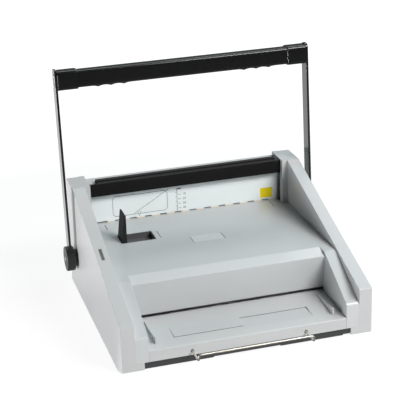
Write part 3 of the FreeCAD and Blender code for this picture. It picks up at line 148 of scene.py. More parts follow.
class Graph:
    """The nodes of one material or of the world."""

    def __init__(self, tree: bpy.types.NodeTree) -> None:
        """Start from an empty tree."""
        self.tree = tree
        self.tree.nodes.clear()

    def node(self, kind: str, settings: Mapping[str, Any] | None = None,
             inputs: Mapping[str | int, Any] | None = None, output: str | int = 0) -> Signal:
        """Add a node.

        Args:
            kind: Blender's name of the node type.
            settings: Node properties, set before anything is linked.
            inputs: Values or signals for sockets, by name or number.
            output: The output to hand back.

        Returns:
            The chosen output.
        """
        made = self.tree.nodes.new(kind)
        for key, value in (settings or {}).items():
            setattr(made, key, value)
        for key, value in (inputs or {}).items():
            if isinstance(value, Signal):
                self.tree.links.new(value.socket, made.inputs[key])
            else:
                made.inputs[key].default_value = value
        return Signal(self, made.outputs[output] if len(made.outputs) else None)

    def place(self) -> Signal:
        """Position on the piece, in metres."""
        return self.node("ShaderNodeTexCoord", output="Object")

    def noise(self, scale: float, detail: float = 2.0, stretch: Point = (1.0, 1.0, 1.0)) -> Signal:
        """Cloudy variation.

        Args:
            scale: Features per metre.
            detail: How many finer layers it holds.
            stretch: Scale along each axis.

        Returns:
            A value from 0 to 1.
        """
        where = self.node("ShaderNodeMapping", None, {"Vector": self.place(), "Scale": stretch})
        return self.node("ShaderNodeTexNoise", None, {"Vector": where, "Scale": scale, "Detail": detail})

    def mix(self, factor: Value, first: Any, second: Any) -> Signal:
        """Blend two colours.

        Args:
            factor: Share of the second colour.
            first: First colour.
            second: Second colour.

        Returns:
            The blended colour.
        """
        inputs = {"Factor": factor, MIX_COLORS[0]: first, MIX_COLORS[1]: second}
        return self.node("ShaderNodeMix", {"data_type": "RGBA"}, inputs, MIX_RESULT)

    def bump(self, height: Signal, strength: float, distance: float, edge: float) -> Signal:
        """Surface relief over softened edges.

        Args:
            height: Relief from 0 to 1.
            strength: Share of the relief that shows.
            distance: Depth of the relief in metres.
            edge: Radius of the softened edges in metres.

        Returns:
            A normal.
        """
        soft = self.node("ShaderNodeBevel", {"samples": EDGE_SAMPLES}, {"Radius": edge})
        inputs = {"Strength": strength, "Distance": distance, "Height": height, "Normal": soft}
        return self.node("ShaderNodeBump", None, inputs)

    def principled(self, inputs: Mapping[str, Any]) -> None:
        """Close the graph with one Principled shader.

        Args:
            inputs: Values or signals for its sockets.
        """
        shader = self.node("ShaderNodeBsdfPrincipled", None, inputs)
        self.node("ShaderNodeOutputMaterial", None, {"Surface": shader})


def rgba(color: Color) -> tuple[float, float, float, float]:
    """A colour with full cover."""
    return (*color, 1.0)


def shaded(color: Color, factor: float) -> tuple[float, float, float, float]:
    """A darker or lighter colour with full cover."""
    return rgba(tuple(min(1.0, channel * factor) for channel in color))


def new_graph(name: str) -> tuple[bpy.types.Material, Graph]:
    """Start a material.

    Args:
        name: Its name.

    Returns:
        The material and its empty graph.
    """
    material = bpy.data.materials.new(name)
    material.use_nodes = True
    return material, Graph(material.node_tree)


def add_box(drawing: bmesh.types.BMesh, low: Point, high: Point) -> None:
    """Add a box to a drawing.

    Args:
        drawing: The drawing.
        low: The box's lowest corner in metres.
        high: Its highest corner in metres.
    """
    middle = (Vector(low) + Vector(high)) / 2
    size = Vector(high) - Vector(low)
    place = Matrix.Translation(middle) @ Matrix.Diagonal((*size, 1.0))
    bmesh.ops.create_cube(drawing, size=1.0, matrix=place)


@dataclass(frozen=True)
class MouldedPlastic:
    """Moulded plastic with a fine spark-eroded grain."""

    name: str
    color: Color
    roughness: float = 0.5
    spread: float = 0.05
    grain: float = 1500.0
    grain_depth: float = 0.05 * MM
    grain_strength: float = 0.35
    mottle: float = 0.03
    cloud: float = 14.0
    cloud_detail: float = 3.0
    edge: float = 0.9 * MM
    gloss: float = 0.5

    def material(self) -> bpy.types.Material:
        """Build the finish: cloudy tone, uneven gloss and a pebbled grain.

        Returns:
            The material.
        """
        material, graph = new_graph(self.name)
        cloud = graph.noise(self.cloud, self.cloud_detail)
        grain = graph.noise(self.grain)
        tone = graph.mix(cloud, shaded(self.color, 1 - self.mottle), shaded(self.color, 1 + self.mottle))
        rough = self.roughness + (cloud - 0.5) * self.spread + (grain - 0.5) * self.spread
        normal = graph.bump(grain, self.grain_strength, self.grain_depth, self.edge)
        graph.principled({"Base Color": tone, "Roughness": rough, "Normal": normal,
                          "Specular IOR Level": self.gloss})
        return material


@dataclass(frozen=True)
class BareMetal:
    """Plain or plated metal with fine lines along one axis."""

    name: str
    color: Color
    roughness: float = 0.32
    lines: Point = (1.0, 40.0, 40.0)
    line_scale: float = 90.0
    line_detail: float = 3.0
    line_tones: Spot = (0.86, 1.06)
    line_spread: float = 0.16
    line_strength: float = 0.2
    line_depth: float = 0.03 * MM
    cloud: float = 30.0
    cloud_spread: float = 0.1
    edge: float = 0.4 * MM

    def material(self) -> bpy.types.Material:
        """Build the finish: drawn lines in tone, gloss and relief.

        Returns:
            The material.
        """
        material, graph = new_graph(self.name)
        lines = graph.noise(self.line_scale, self.line_detail, self.lines)
        cloud = graph.noise(self.cloud)
        tone = graph.mix(lines, *(shaded(self.color, share) for share in self.line_tones))
        rough = self.roughness + (lines - 0.5) * self.line_spread + (cloud - 0.5) * self.cloud_spread
        normal = graph.bump(lines, self.line_strength, self.line_depth, self.edge)
        graph.principled({"Base Color": tone, "Roughness": rough, "Normal": normal, "Metallic": 1.0})
        return material


@dataclass(frozen=True)
class GlossPaint:
    """Smooth black stoving paint or polished moulding with a faint ripple."""

    name: str
    color: Color
    roughness: float = 0.2
    ripple: float = 220.0
    ripple_detail: float = 1.0
    ripple_strength: float = 0.12
    ripple_depth: float = 0.08 * MM
    cloud: float = 45.0
    cloud_detail: float = 4.0
    cloud_tones: Spot = (0.9, 1.15)
    cloud_spread: float = 0.12
    edge: float = 0.8 * MM
    coat: float = 0.0
    gloss: float = 0.5

    def material(self) -> bpy.types.Material:
        """Build the finish: even colour, handling marks in the gloss and a faint ripple.

        Returns:
            The material.
        """
        material, graph = new_graph(self.name)
        cloud = graph.noise(self.cloud, self.cloud_detail)
        ripple = graph.noise(self.ripple, self.ripple_detail)
        tone = graph.mix(cloud, *(shaded(self.color, share) for share in self.cloud_tones))
        rough = self.roughness + (cloud - 0.5) * self.cloud_spread
        normal = graph.bump(ripple, self.ripple_strength, self.ripple_depth, self.edge)
        graph.principled({"Base Color": tone, "Roughness": rough, "Normal": normal,
                          "Coat Weight": self.coat, "Specular IOR Level": self.gloss})
        return material


class Finish(Enum):
    """Every finish on the machine."""

    HOUSING = MouldedPlastic("housing_grey", (0.575, 0.585, 0.59), roughness=0.36)
    DECK = MouldedPlastic("deck_grey", (0.60, 0.62, 0.625), roughness=0.22)
    PANEL = MouldedPlastic("panel_white", (0.93, 0.985, 0.99), roughness=0.35, grain_strength=0.1,
                           mottle=0.01)
    DARK = MouldedPlastic("dark_moulding", (0.058, 0.059, 0.061), roughness=0.45)
    MATT = MouldedPlastic("matt_black", (0.011, 0.011, 0.0115), roughness=0.62, gloss=0.3)
    # Dark mark inlays on the deck; the same dark finish also serves as painted shade at the tray steps and
    # painted shadow at the badge ends.
    INLAY_AND_SHADE = MouldedPlastic("mark_inlay_and_painted_shade", (0.035, 0.035, 0.037), roughness=0.55)
    RUBBER = MouldedPlastic("foot_rubber", (0.02, 0.02, 0.02), roughness=0.75, grain=900.0)
    BOARD = MouldedPlastic("circuit_board", (0.02, 0.14, 0.06), roughness=0.35, mottle=0.2)
    BADGE = MouldedPlastic("badge_plate", (0.68, 0.70, 0.71), roughness=0.25, grain_strength=0.15)
    INK = MouldedPlastic("panel_ink", (0.05, 0.052, 0.055), roughness=0.5, grain_strength=0.05,
                         mottle=0.15)
    FILM = MouldedPlastic("yellow_film", (0.98, 0.79, 0.008), roughness=0.3, grain_strength=0.05)
    BLACK = GlossPaint("black_moulding", (0.013, 0.013, 0.0132), roughness=0.42, gloss=0.04)
    GRIP = GlossPaint("grip_black", (0.006, 0.006, 0.0062), roughness=0.14, ripple_strength=0.02,
                      edge=2.5 * MM)
    HUB = MouldedPlastic("hub_black", (0.027, 0.027, 0.0275), roughness=0.42)
    POCKET = MouldedPlastic("pocket_grey", (0.10, 0.101, 0.103), roughness=0.5)
    CREAM = MouldedPlastic("foot_cream", (0.93, 0.80, 0.66), roughness=0.45, grain_strength=0.1)
    PAINT = GlossPaint("black_paint", (0.004, 0.004, 0.0042), roughness=0.09, coat=0.3)
    WINDOW = GlossPaint("smoked_window", (0.05, 0.048, 0.047), roughness=0.2)
    STEEL = BareMetal("plain_steel", (0.50, 0.50, 0.51))
    SCREW = BareMetal("plated_screw", (0.85, 0.85, 0.86), roughness=0.28)
    WIRE = BareMetal("drawn_wire", (0.66, 0.62, 0.57), roughness=0.42)
    ALLOY = BareMetal("milled_alloy", (0.62, 0.63, 0.64), roughness=0.35)
    BRONZE = BareMetal("sintered_bronze", (0.55, 0.38, 0.18), roughness=0.4)


SLOT_FINISH: dict[str, Finish] = {
    "housing": Finish.HOUSING, "deck": Finish.DECK, "panel": Finish.PANEL, "black_plastic": Finish.BLACK,
    "dark_plastic": Finish.DARK, "black_paint": Finish.PAINT, "wire": Finish.WIRE, "steel": Finish.STEEL,
    "screw": Finish.SCREW, "alloy": Finish.ALLOY, "bronze": Finish.BRONZE, "board": Finish.BOARD,
    "window": Finish.WINDOW, "badge": Finish.BADGE, "feet": Finish.RUBBER,
}
NODE_FINISH: dict[str, Finish] = {
    "edge_stop": Finish.MATT, "edge_stop_tray": Finish.POCKET, "handle_grip": Finish.GRIP,
    "left_grip_cap": Finish.GRIP, "right_grip_cap": Finish.GRIP, "left_hub": Finish.HUB,
    "right_hub": Finish.HUB,
}


class Workshop:
    """Finishes made once, and the pieces that wear them."""

    def __init__(self, frame: Mapping[str, Any]) -> None:
        """Keep the frame and start with no materials."""
        self.frame = frame
        self.made: dict[Finish, bpy.types.Material] = {}

    def finish(self, finish: Finish) -> bpy.types.Material:
        """The material of a finish, made at its first use.

        Args:
            finish: The finish.

        Returns:
            Its material.
        """
        if finish not in self.made:
            self.made[finish] = finish.value.material()
        return self.made[finish]

    def wear(self, piece: bpy.types.Object, finish: Finish) -> None:
        """Put one finish all over a piece."""
        piece.data.materials.clear()
        piece.data.materials.append(self.finish(finish))

    def dress_nodes(self) -> None:
        """Give every piece of the frame its own finish, or else that of its slot."""
        for entry in self.frame["record"]["subparts"]:
            node = self.frame["nodes"][entry["node"]]
            self.wear(node, NODE_FINISH.get(entry["node"], SLOT_FINISH[entry["material_slot"]]))
            LOG.info("dressed %s", entry["node"])

    def make(self, name: str, drawing: bmesh.types.BMesh, finish: Finish, body: Body) -> bpy.types.Object:
        """Turn a drawing into a piece that rides on a moving group.

        Args:
            name: The piece's name.
            drawing: Its mesh in the machine's frame; it is freed.
            finish: Its finish.
            body: The group that it moves with.

        Returns:
            The piece.
        """
        mesh = bpy.data.meshes.new(name)
        drawing.to_mesh(mesh)
        drawing.free()
        piece = bpy.data.objects.new(name, mesh)
        bpy.context.scene.collection.objects.link(piece)
        self.wear(piece, finish)
        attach(piece, body.value)
        LOG.info("made %s", name)
        return piece


class InkDrawing:
    """Flat print on an upright face, drawn in mm right of and above the face's lower left corner."""

    def __init__(self, corner: Vector, lift: float) -> None:
        """Start an empty drawing.

        Args:
            corner: The face's lower left corner in metres.
            lift: How far the ink stands ahead of the face, in mm.
        """
        self.corner = corner - Vector((0.0, lift * MM, 0.0))
        self.mesh = bmesh.new()

    def _spot(self, point: Spot) -> bmesh.types.BMVert:
        """A corner of the drawing."""
        return self.mesh.verts.new(self.corner + Vector((point[0], 0.0, point[1])) * MM)

    def fill(self, outline: Sequence[Spot]) -> None:
        """Fill an outline, given anticlockwise."""
        self.mesh.faces.new([self._spot(point) for point in outline])

    def bar(self, across: Spot, up: Spot) -> None:
        """Fill an upright rectangle between two limits each way."""
        self.fill([(across[0], up[0]), (across[1], up[0]), (across[1], up[1]), (across[0], up[1])])

    def line(self, start: Spot, end: Spot, width: float) -> None:
        """Draw a straight line.

        Args:
            start: Where it starts, in mm.
            end: Where it ends.
            width: Its width in mm.
        """
        along = Vector((end[0] - start[0], end[1] - start[1])).normalized()
        side = Vector((-along.y, along.x)) * width / 2
        first, last = Vector(start), Vector(end)
        self.fill([tuple(point) for point in (first - side, last - side, last + side, first + side)])

    def ring(self, outer: Sequence[Spot], inner: Sequence[Spot]) -> None:
        """Fill the band between two outlines.

        Args:
            outer: Points of the outer outline.
            inner: Matching points of the inner one.
        """
        rims = [[self._spot(point) for point in outline] for outline in (outer, inner)]
        for i in range(len(outer)):
            j = (i + 1) % len(outer)
            self.mesh.faces.new([rims[0][i], rims[0][j], rims[1][j], rims[1][i]])

    def number(self, text: str, middle: Spot, height: float) -> None:
        """Print a plain number.

        Args:
            text: Its digits.
            middle: Where its middle stands, in mm.
            height: Height of its digits in mm.
        """
        curve = bpy.data.curves.new("number", "FONT")
        curve.body = text
        curve.size = height * MM / DIGIT_SHARE
        curve.align_x, curve.align_y = "CENTER", "CENTER"
        holder = bpy.data.objects.new("number", curve)
        letters = holder.to_mesh()
        upright = Matrix.Rotation(math.pi / 2, 4, "X")
        place = Matrix.Translation(self.corner + Vector((middle[0], 0.0, middle[1])) * MM)
        letters.transform(place @ upright)
        self.mesh.from_mesh(letters)
        holder.to_mesh_clear()
        bpy.data.objects.remove(holder)
        bpy.data.curves.remove(curve)


@dataclass(frozen=True)
class PanelPrint:
    """Plain print on the upright panel, in mm from its lower left corner: frame, pointer, scale, patch."""

    lift: float = 0.04
    line: float = 0.7
    frame_x: Spot = (41.0, 143.0)
    frame_z: Spot = (8.0, 46.6)
    frame_r: float = 7.0
    corner_steps: int = 6
    diagonal: tuple[Spot, Spot] = ((79.3, 8.9), (145.2, 47.8))
    pointer_tip: Spot = (89.7, 3.4)
    pointer: Spot = (8.0, 8.2)
    pointer_rim: float = 2.6
    scale_x: float = 161.0
    scale_z: Spot = (3.0, 47.0)
    scale_start: float = 8.5
    scale_step: float = 8.8
    scale_count: int = 4
    scale_unit: int = 10
    tick: Spot = (2.0, 7.0)
    minor_tick: float = 3.0
    header: Spot = (8.0, 2.2)
    digit_x: float = 13.5
    digit_h: float = 4.2
    patch_x: Spot = (320.2, 343.6)
    patch_z: Spot = (5.2, 24.6)
    notch_middle: float = 13.0
    notch_pitch: float = 27.94
    notch_count: int = 11
    notch_half: float = 7.2
    foot_z: Spot = (0.2, 2.0)

    def build(self, workshop: Workshop) -> None:
        """Print the panel.

        Args:
            workshop: Where its pieces are made.
        """
        low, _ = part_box("label_panel")
        corner = Vector(low)
        ink = InkDrawing(corner, self.lift)
        ink.ring(self._frame(0.0), self._frame(self.line))
        ink.line(*self.diagonal, self.line)
        self._pointer(ink)
        self._scale(ink)
        workshop.make("panel_print", ink.mesh, Finish.INK, Body.HOUSING)
        patch = InkDrawing(corner, self.lift)
        patch.bar(self.patch_x, self.patch_z)
        workshop.make("panel_patch", patch.mesh, Finish.FILM, Body.HOUSING)
        tabs = InkDrawing(Vector((self.notch_middle * MM, corner.y, corner.z)), self.lift)
        for i in range(self.notch_count):
            right = (i - (self.notch_count - 1) / 2) * self.notch_pitch - self.notch_half
            tabs.bar((right - self.notch_pitch + 2 * self.notch_half, right), self.foot_z)
        workshop.make("panel_foot_tabs", tabs.mesh, Finish.CREAM, Body.HOUSING)

    def _frame(self, inset: float) -> list[Spot]:
        """Outline of the rounded frame.

        Args:
            inset: How far it is set in, in mm.

        Returns:
            Its points, anticlockwise.
        """
        radius = self.frame_r - inset
        left, right = self.frame_x[0] + self.frame_r, self.frame_x[1] - self.frame_r
        low, high = self.frame_z[0] + self.frame_r, self.frame_z[1] - self.frame_r
        points = []
        for quarter, (x, z) in enumerate(((right, high), (left, high), (left, low), (right, low))):
            for step in range(self.corner_steps + 1):
                angle = (quarter + step / self.corner_steps) * math.pi / 2
                points.append((x + radius * math.cos(angle), z + radius * math.sin(angle)))
        return points

    def _pointer(self, ink: InkDrawing) -> None:
        """Draw a small outlined triangle that points down at the notches.

        Args:
            ink: The drawing.
        """
        x, z = self.pointer_tip
        width, height = self.pointer
        outer = [(x, z), (x + width / 2, z + height), (x - width / 2, z + height)]
        middle = (x, z + height * 2 / 3)
        share = 1 - self.pointer_rim * self.line / height
        inner = [(middle[0] + (px - middle[0]) * share, middle[1] + (pz - middle[1]) * share)
                 for px, pz in outer]
        ink.ring(outer, inner)

    def _scale(self, ink: InkDrawing) -> None:
        """Draw the upright thickness scale with plain numbers.

        Args:
            ink: The drawing.
        """
        x = self.scale_x
        ink.line((x, self.scale_z[0]), (x, self.scale_z[1]), self.line)
        ink.bar((x, x + self.header[0]), (self.scale_z[1] - self.header[1], self.scale_z[1]))
        for i in range(self.scale_count):
            z = self.scale_start + i * self.scale_step
            ink.line((x + self.tick[0], z), (x + self.tick[1], z), self.line)
            between = z + self.scale_step / 2
            ink.line((x - self.minor_tick, between), (x, between), self.line)
            label = str(self.scale_unit * (self.scale_count - i))
            ink.number(label, (x + self.digit_x, z), self.digit_h)


@dataclass(frozen=True)
class DeckMarks:
    """Dark inlays in the deck's three grooves, in mm from the jaw, as the grooves are placed."""

    # Each spot: side, distance in from the jaw's end, start and end ahead of the jaw
    spots: tuple[tuple[int, float, float, float], ...] = (
        (-1, 23.2, 22.0, -3.0), (-1, 103.6, 89.0, 57.0), (1, 20.0, 22.0, -6.0))
    width: float = 1.1
    depth: Spot = (0.55, 0.1)

    def build(self, workshop: Workshop) -> None:
        """Lay the inlays.

        Args:
            workshop: Where they are made.
        """
        jaw_low, jaw_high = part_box("pressure_jaw")
        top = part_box("label_panel")[0][2]
        drawing = bmesh.new()
        for side, inset, start, end in self.spots:
            x = side * (jaw_high[0] - inset * MM)
            half = self.width * MM / 2
            add_box(drawing, (x - half, jaw_low[1] - start * MM, top - self.depth[0] * MM),
                    (x + half, jaw_low[1] - end * MM, top - self.depth[1] * MM))
        workshop.make("deck_marks", drawing, Finish.INLAY_AND_SHADE, Body.HOUSING)


@dataclass(frozen=True)
class StepAndBadgeShade:
    """Painted shade: dark strips at the foot of the sheet tray's two steps, and painted shadow on the
    badge's ends where its gaps lie in shade, in mm.
    """

    tray_seam: float = 0.2
    step_in: float = 48.9
    right_step: Spot = (58.0, 34.66)
    left_step: Spot = (28.8, 35.23)
    gap: float = 1.5
    height: float = 0.55
    stand: Spot = (0.1, 0.02)
    badge_line: float = 0.8

    def build(self, workshop: Workshop) -> None:
        """Draw the painted shade strips.

        Args:
            workshop: Where they are made.
        """
        low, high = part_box("punch_tray")
        end = high[0] + (self.tray_seam - self.step_in) * MM
        drawing = bmesh.new()
        # Painted shade: a thin dark strip stands just ahead of the foot of each tray step, where the step
        # throws shade.
        for left, right, (ahead, foot) in ((0.0, end, self.right_step),
                                           (-end, -self.gap * MM, self.left_step)):
            wall = low[1] + ahead * MM
            add_box(drawing, (left, wall - self.stand[0] * MM, foot * MM),
                    (right, wall - self.stand[1] * MM, (foot + self.height) * MM))
        workshop.make("tray_step_painted_shade", drawing, Finish.INLAY_AND_SHADE, Body.HOUSING)
        low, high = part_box("badge_plate")
        drawing = bmesh.new()
        # Painted shadow: a thin dark strip lies on each end of the badge, where the gap round the badge is
        # in shade.
        for left in (low[0], high[0] - self.badge_line * MM):
            add_box(drawing, (left, low[1], high[2] + self.stand[1] * MM),
                    (left + self.badge_line * MM, high[1], high[2] + self.stand[0] * MM))
        workshop.make("badge_end_painted_shadow", drawing, Finish.INLAY_AND_SHADE, Body.HOUSING)


@dataclass(frozen=True)
class CrossScrew:
    """Domed screw with a cross recess, in mm; its head stands on z = 0 and faces +z."""

    head_r: float
    head_h: float
    shank_r: float
    shank_l: float
    steps: int = 28
    flat_share: float = 0.62
    rim_share: float = 0.35
    dome_turns: tuple[float, ...] = (0.0, 0.5, 1.0, math.pi / 2)
    cross_reach: float = 0.82
    cross_half: float = 0.2
    cross_taper: float = 0.6
    cross_floor: float = 0.35

    def draw(self) -> bmesh.types.BMesh:
        """Turn the screw about its axis and sink the cross into its head.

        Returns:
            The screw's mesh.
        """
        drawing = bmesh.new()
        flat = self.flat_share * self.head_r
        dome = [(self.head_r - (self.head_r - flat) * (1 - math.cos(turn)),
                 self.head_h * (self.rim_share + (1 - self.rim_share) * math.sin(turn)))
                for turn in self.dome_turns]
        profile = [(self.shank_r, -self.shank_l), (self.shank_r, 0.0), (self.head_r, 0.0), *dome]
        line = [drawing.verts.new((r * MM, 0.0, h * MM)) for r, h in profile]
        edges = [drawing.edges.new(pair) for pair in zip(line, line[1:])]
        bmesh.ops.spin(drawing, geom=line + edges, cent=(0.0, 0.0, 0.0), axis=(0.0, 0.0, 1.0),
                       angle=2 * math.pi, steps=self.steps, use_merge=True)
        bmesh.ops.remove_doubles(drawing, verts=drawing.verts[:], dist=MERGE)
        ends = [edge for edge in drawing.edges if edge.is_boundary]
        foot = [edge for edge in ends if edge.verts[0].co.z < 0]
        bmesh.ops.contextual_create(drawing, geom=foot)
        self._recess(drawing, [edge for edge in ends if edge.verts[0].co.z > 0], flat)
        bmesh.ops.recalc_face_normals(drawing, faces=drawing.faces[:])
        return drawing

    def _recess(self, drawing: bmesh.types.BMesh, rim: list[bmesh.types.BMEdge], flat: float) -> None:
        """Close the top of the head round a cross and push the cross in.

        Args:
            drawing: The screw so far.
            rim: Edges round the open top.
            flat: Radius of that top in mm.
        """
        reach, half = self.cross_reach * flat, self.cross_half * flat
        arm = [(half, -half), (reach, -half), (reach, half)]
        height = self.head_h * MM
        cross = []
        for quarter in range(4):
            turn = Matrix.Rotation(quarter * math.pi / 2, 2)
            for point in arm:
                x, y = turn @ Vector(point) * MM
                cross.append(drawing.verts.new((x, y, height)))
        plate = drawing.faces.new(cross)
        bmesh.ops.triangle_fill(drawing, use_beauty=True, edges=rim + list(plate.edges))
        pushed = bmesh.ops.extrude_discrete_faces(drawing, faces=[plate])["faces"][0]
        for vert in pushed.verts:
            x, y, _ = vert.co * self.cross_taper
            vert.co = (x, y, height * self.cross_floor)

    def place(self, drawing: bmesh.types.BMesh, spots: Iterable[Matrix]) -> None:
        """Add a copy of the screw at each place.

        Args:
            drawing: The mesh that takes the copies.
            spots: Places of the copies.
        """
        single = self.draw()
        mesh = bpy.data.meshes.new("screw")
        single.to_mesh(mesh)
        single.free()
        for spot in spots:
            turned = mesh.copy()
            turned.transform(spot)
            drawing.from_mesh(turned)
            bpy.data.meshes.remove(turned)
        bpy.data.meshes.remove(mesh)


@dataclass(frozen=True)
class Fasteners:
    """The screws of the handle and of the rear cover, in mm and degrees."""

    hub_screw: CrossScrew = CrossScrew(3.4, 1.2, 1.7, 3.0)
    grip_screw: CrossScrew = CrossScrew(3.0, 1.2, 1.5, 4.0)
    cover_screw: CrossScrew = CrossScrew(3.2, 1.3, 1.6, 13.5)
    pivot: Spot = (146.6, 67.0)
    lean: float = 3.4
    grip_heights: Spot = (312.0, 330.0)
    cover_x: float = 183.5
    cover_z: Spot = (127.0, 177.0)
    cover_seat: float = 214.5

    def build(self, workshop: Workshop) -> None:
        """Put the screws in.

        Args:
            workshop: Where they are made.
        """
        handle = bmesh.new()
        hub_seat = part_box("right_hub")[1][0]
        arm_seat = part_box("right_handle_arm")[1][0]
        self.hub_screw.place(handle, self._pair(hub_seat, self.pivot))
        lean = math.radians(self.lean)
        for height in self.grip_heights:
            centre = (self.pivot[0] + height * math.sin(lean), self.pivot[1] + height * math.cos(lean))
            self.grip_screw.place(handle, self._pair(arm_seat, centre))
        piece = workshop.make("handle_screw_heads", handle, Finish.SCREW, Body.HANDLE)
        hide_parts("handle_screws")
        cover = bmesh.new()
        back = Matrix.Rotation(-math.pi / 2, 4, "X")
        spots = [Matrix.Translation(Vector((x, self.cover_seat, z)) * MM) @ back
                 for x in (-self.cover_x, self.cover_x) for z in self.cover_z]
        self.cover_screw.place(cover, spots)
        piece = workshop.make("cover_screw_heads", cover, Finish.SCREW, Body.HOUSING)
        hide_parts("cover_screws")

    @staticmethod
    def _pair(seat: float, centre: Spot) -> list[Matrix]:
        """Places of a screw on the right and on the left.

        Args:
            seat: How far out the head stands, in metres.
            centre: Depth and height of its axis in mm.

        Returns:
            Both places.
        """
        spots = []
        for side in (1, -1):
            turn = Matrix.Rotation(side * math.pi / 2, 4, "Y")
            place = Vector((side * seat, centre[0] * MM, centre[1] * MM))
            spots.append(Matrix.Translation(place) @ turn)
        return spots


@dataclass(frozen=True)
class InletBlades:
    """Plated sleeves over the inlet's three contact blades, in mm."""

    middle: float = 120.0
    pitch: float = 7.0
    width: float = 2.1
    reach: Spot = (197.0, 206.1)
    height: float = 4.1
    low: float = 41.95
    raised: float = 2.0

    def build(self, workshop: Workshop) -> None:
        """Slide the sleeves on.

        Args:
            workshop: Where they are made.
        """
        drawing = bmesh.new()
        for step in (-1, 0, 1):
            x = self.middle + step * self.pitch
            z = self.low + self.raised * (1 - abs(step))
            add_box(drawing, (Vector((x - self.width / 2, self.reach[0], z)) * MM)[:],
                    (Vector((x + self.width / 2, self.reach[1], z + self.height)) * MM)[:])
        workshop.make("inlet_blades", drawing, Finish.SCREW, Body.HOUSING)


def studio_sheet(name: str, size: Spot, place: Matrix) -> bpy.types.Object:
    """Add a flat rectangle to the studio.

    Args:
        name: Its name.
        size: Its width and length in metres.
        place: Where it lies; unturned, it faces up.

    Returns:
        The sheet.
    """
    drawing = bmesh.new()
    stretch = Matrix.Diagonal((*size, 1.0, 1.0))
    bmesh.ops.create_grid(drawing, x_segments=1, y_segments=1, size=0.5, matrix=place @ stretch)
    mesh = bpy.data.meshes.new(name)
    drawing.to_mesh(mesh)
    drawing.free()
    sheet = bpy.data.objects.new(name, mesh)
    bpy.context.scene.collection.objects.link(sheet)
    return sheet


@dataclass(frozen=True)
class SoftBox:
    """A rectangular lamp that faces the machine."""

    name: str
    place: Point
    size: Spot
    power: float
    color: Color = (1.0, 1.0, 1.0)

    def hang(self, target: Point) -> None:
        """Hang the lamp so that it faces a target.

        Args:
            target: The place that it faces.
        """
        light = bpy.data.lights.new(self.name, "AREA")
        light.shape = "RECTANGLE"
        light.size, light.size_y = self.size
        light.energy = self.power
        light.color = self.color
        lamp = bpy.data.objects.new(self.name, light)
        lamp.location = self.place
        lamp.rotation_mode = "QUATERNION"
        lamp.rotation_quaternion = (Vector(target) - Vector(self.place)).to_track_quat("-Z", "Y")
        bpy.context.scene.collection.objects.link(lamp)


@dataclass(frozen=True)
class Card:
    """A white card that shows in glossy faces alone; its tilt is in degrees."""

    name: str
    place: Point
    size: Spot
    tilt: float
    strength: float

    def stand(self) -> None:
        """Stand the card in the studio."""
        turn = Matrix.Rotation(math.radians(self.tilt), 4, "X")
        card = studio_sheet(self.name, self.size, Matrix.Translation(self.place) @ turn)
        card.visible_camera = card.visible_diffuse = card.visible_shadow = False
        material, graph = new_graph(self.name + "_white")
        inputs = {"Color": rgba((1.0, 1.0, 1.0)), "Strength": self.strength}
        glow = graph.node("ShaderNodeEmission", None, inputs)
        graph.node("ShaderNodeOutputMaterial", None, {"Surface": glow})
        card.data.materials.append(material)


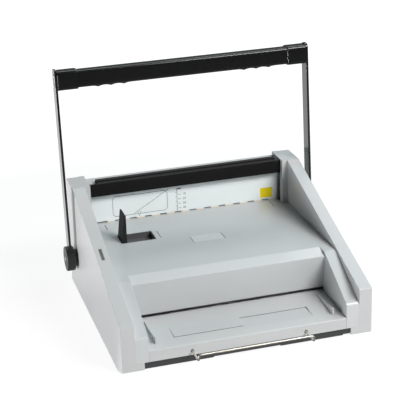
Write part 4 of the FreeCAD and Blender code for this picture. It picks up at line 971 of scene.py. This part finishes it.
@dataclass(frozen=True)
class Studio:
    """White studio: floor, world, lamps and the camera."""

    floor_side: float = 12.0
    target: Point = (-0.0234, 0.0120, 0.2089)
    azimuth: float = -15.73
    elevation: float = 21.08
    distance: float = 2.1694
    roll: float = -2.03
    lens: float = 116.46
    sensor: float = 36.0
    shift: Spot = (0.0037, -0.0150)
    floor_white: float = 0.9
    light_level: float = 0.05
    mirror_level: float = 0.12
    backdrop_start: float = 0.1
    backdrop_gain: float = 4.0
    floor_glow: float = 0.75
    floor_seen: float = 0.8
    floor_shine: float = 1.12
    shadow_reach: float = 0.8
    floor_mirror: float = 0.3
    cool: Color = (0.82, 1.0, 1.02)
    lamps: tuple[SoftBox, ...] = (
        SoftBox("key", (1.0, -1.35, 1.6), (1.2, 0.8), 48.0, (1.0, 0.985, 0.975)),
        SoftBox("top", (1.6, 0.35, 1.65), (1.0, 1.0), 14.0, (0.72, 1.0, 1.04)),
        SoftBox("left", (-1.5, -0.27, 0.06), (0.5, 0.1), 13.0),
    )
    cards: tuple[Card, ...] = (
        Card("low_card", (0.0, 0.5, 0.21), (4.0, 0.42), 90.0, 1.0),
        Card("high_card", (0.25, 0.8, 1.2), (1.4, 0.7), -45.0, 3.0),
    )

    def build(self) -> None:
        """Set up everything round the machine."""
        scene = bpy.context.scene
        scene.view_settings.view_transform = "Standard"
        self._floor()
        for card in self.cards:
            card.stand()
        self._world(scene)
        for lamp in self.lamps:
            lamp.hang(self.target)
        self._camera(scene)

    def _floor(self) -> None:
        """White floor that keeps the machine's shadow and looks dim in mirrors ahead of the machine."""
        floor = studio_sheet("floor", (self.floor_side, self.floor_side), Matrix.Identity(4))
        material, graph = new_graph("floor_white")
        seen, lit, mirror = (graph.node("ShaderNodeLightPath", output=name)
                             for name in ("Is Camera Ray", "Is Diffuse Ray", "Is Glossy Ray"))
        depth = graph.node("ShaderNodeSeparateXYZ", None, {0: graph.place()}, "Y")
        behind = ((depth - self.backdrop_start) * self.backdrop_gain).limited()
        white = (self.floor_white,) * 3
        tone = graph.mix(mirror * (1.0 - behind), rgba(white), shaded(white, self.floor_mirror))
        matt = graph.node("ShaderNodeBsdfDiffuse", None, {"Color": tone})
        shine = {"Color": rgba((1.0, 1.0, 1.0)), "Strength": self.floor_shine}
        glow = graph.node("ShaderNodeEmission", None, shine)
        away = graph.node("ShaderNodeVectorMath", {"operation": "LENGTH"}, {0: graph.place()}, "Value")
        far = ((away - self.shadow_reach) * self.backdrop_gain).limited()
        shown = self.floor_seen + far * (1.0 - self.floor_seen)
        share = seen * shown + lit * self.floor_glow + mirror * behind * self.floor_seen
        shader = graph.node("ShaderNodeMixShader", None, {0: share, 1: matt, 2: glow})
        graph.node("ShaderNodeOutputMaterial", None, {"Surface": shader})
        floor.data.materials.append(material)

    def _world(self, scene: bpy.types.Scene) -> None:
        """Surroundings: white behind the machine, dim in mirrors, soft and cool as light.

        Args:
            scene: The scene that they belong to.
        """
        world = bpy.data.worlds.new("studio")
        world.use_nodes = True
        scene.world = world
        graph = Graph(world.node_tree)
        camera = graph.node("ShaderNodeLightPath", output="Is Camera Ray")
        mirror = graph.node("ShaderNodeLightPath", output="Is Glossy Ray")
        tint = graph.mix(camera, rgba(self.cool), rgba((1.0, 1.0, 1.0)))
        level = self.light_level + mirror * (self.mirror_level - self.light_level)
        level = level + camera * (1.0 - self.light_level)
        sky = graph.node("ShaderNodeBackground", None, {"Color": tint, "Strength": level})
        graph.node("ShaderNodeOutputWorld", None, {"Surface": sky})

    def _camera(self, scene: bpy.types.Scene) -> None:
        """Place the camera at the photograph's viewing angle.

        Args:
            scene: The scene that it shows.
        """
        azimuth, elevation = math.radians(self.azimuth), math.radians(self.elevation)
        level = math.cos(elevation)
        back = Vector((math.sin(azimuth) * level, -math.cos(azimuth) * level, math.sin(elevation)))
        data = bpy.data.cameras.new("camera")
        data.lens = self.lens
        data.sensor_width = self.sensor
        data.shift_x, data.shift_y = self.shift
        camera = bpy.data.objects.new("camera", data)
        camera.location = Vector(self.target) + back * self.distance
        camera.rotation_mode = "QUATERNION"
        turn = Quaternion((0.0, 0.0, 1.0), math.radians(self.roll))
        camera.rotation_quaternion = (-back).to_track_quat("-Z", "Y") @ turn
        scene.collection.objects.link(camera)
        scene.camera = camera


def main() -> None:
    """Build the looks in order."""
    logging.basicConfig(level=logging.INFO, format="%(name)s: %(message)s")
    bpy.ops.wm.read_factory_settings(use_empty=True)
    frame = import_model()
    workshop = Workshop(frame)
    workshop.dress_nodes()
    for group in (PanelPrint(), DeckMarks(), StepAndBadgeShade(), Fasteners(), InletBlades()):
        group.build(workshop)
    Studio().build()


if __name__ == "__main__":
    main()
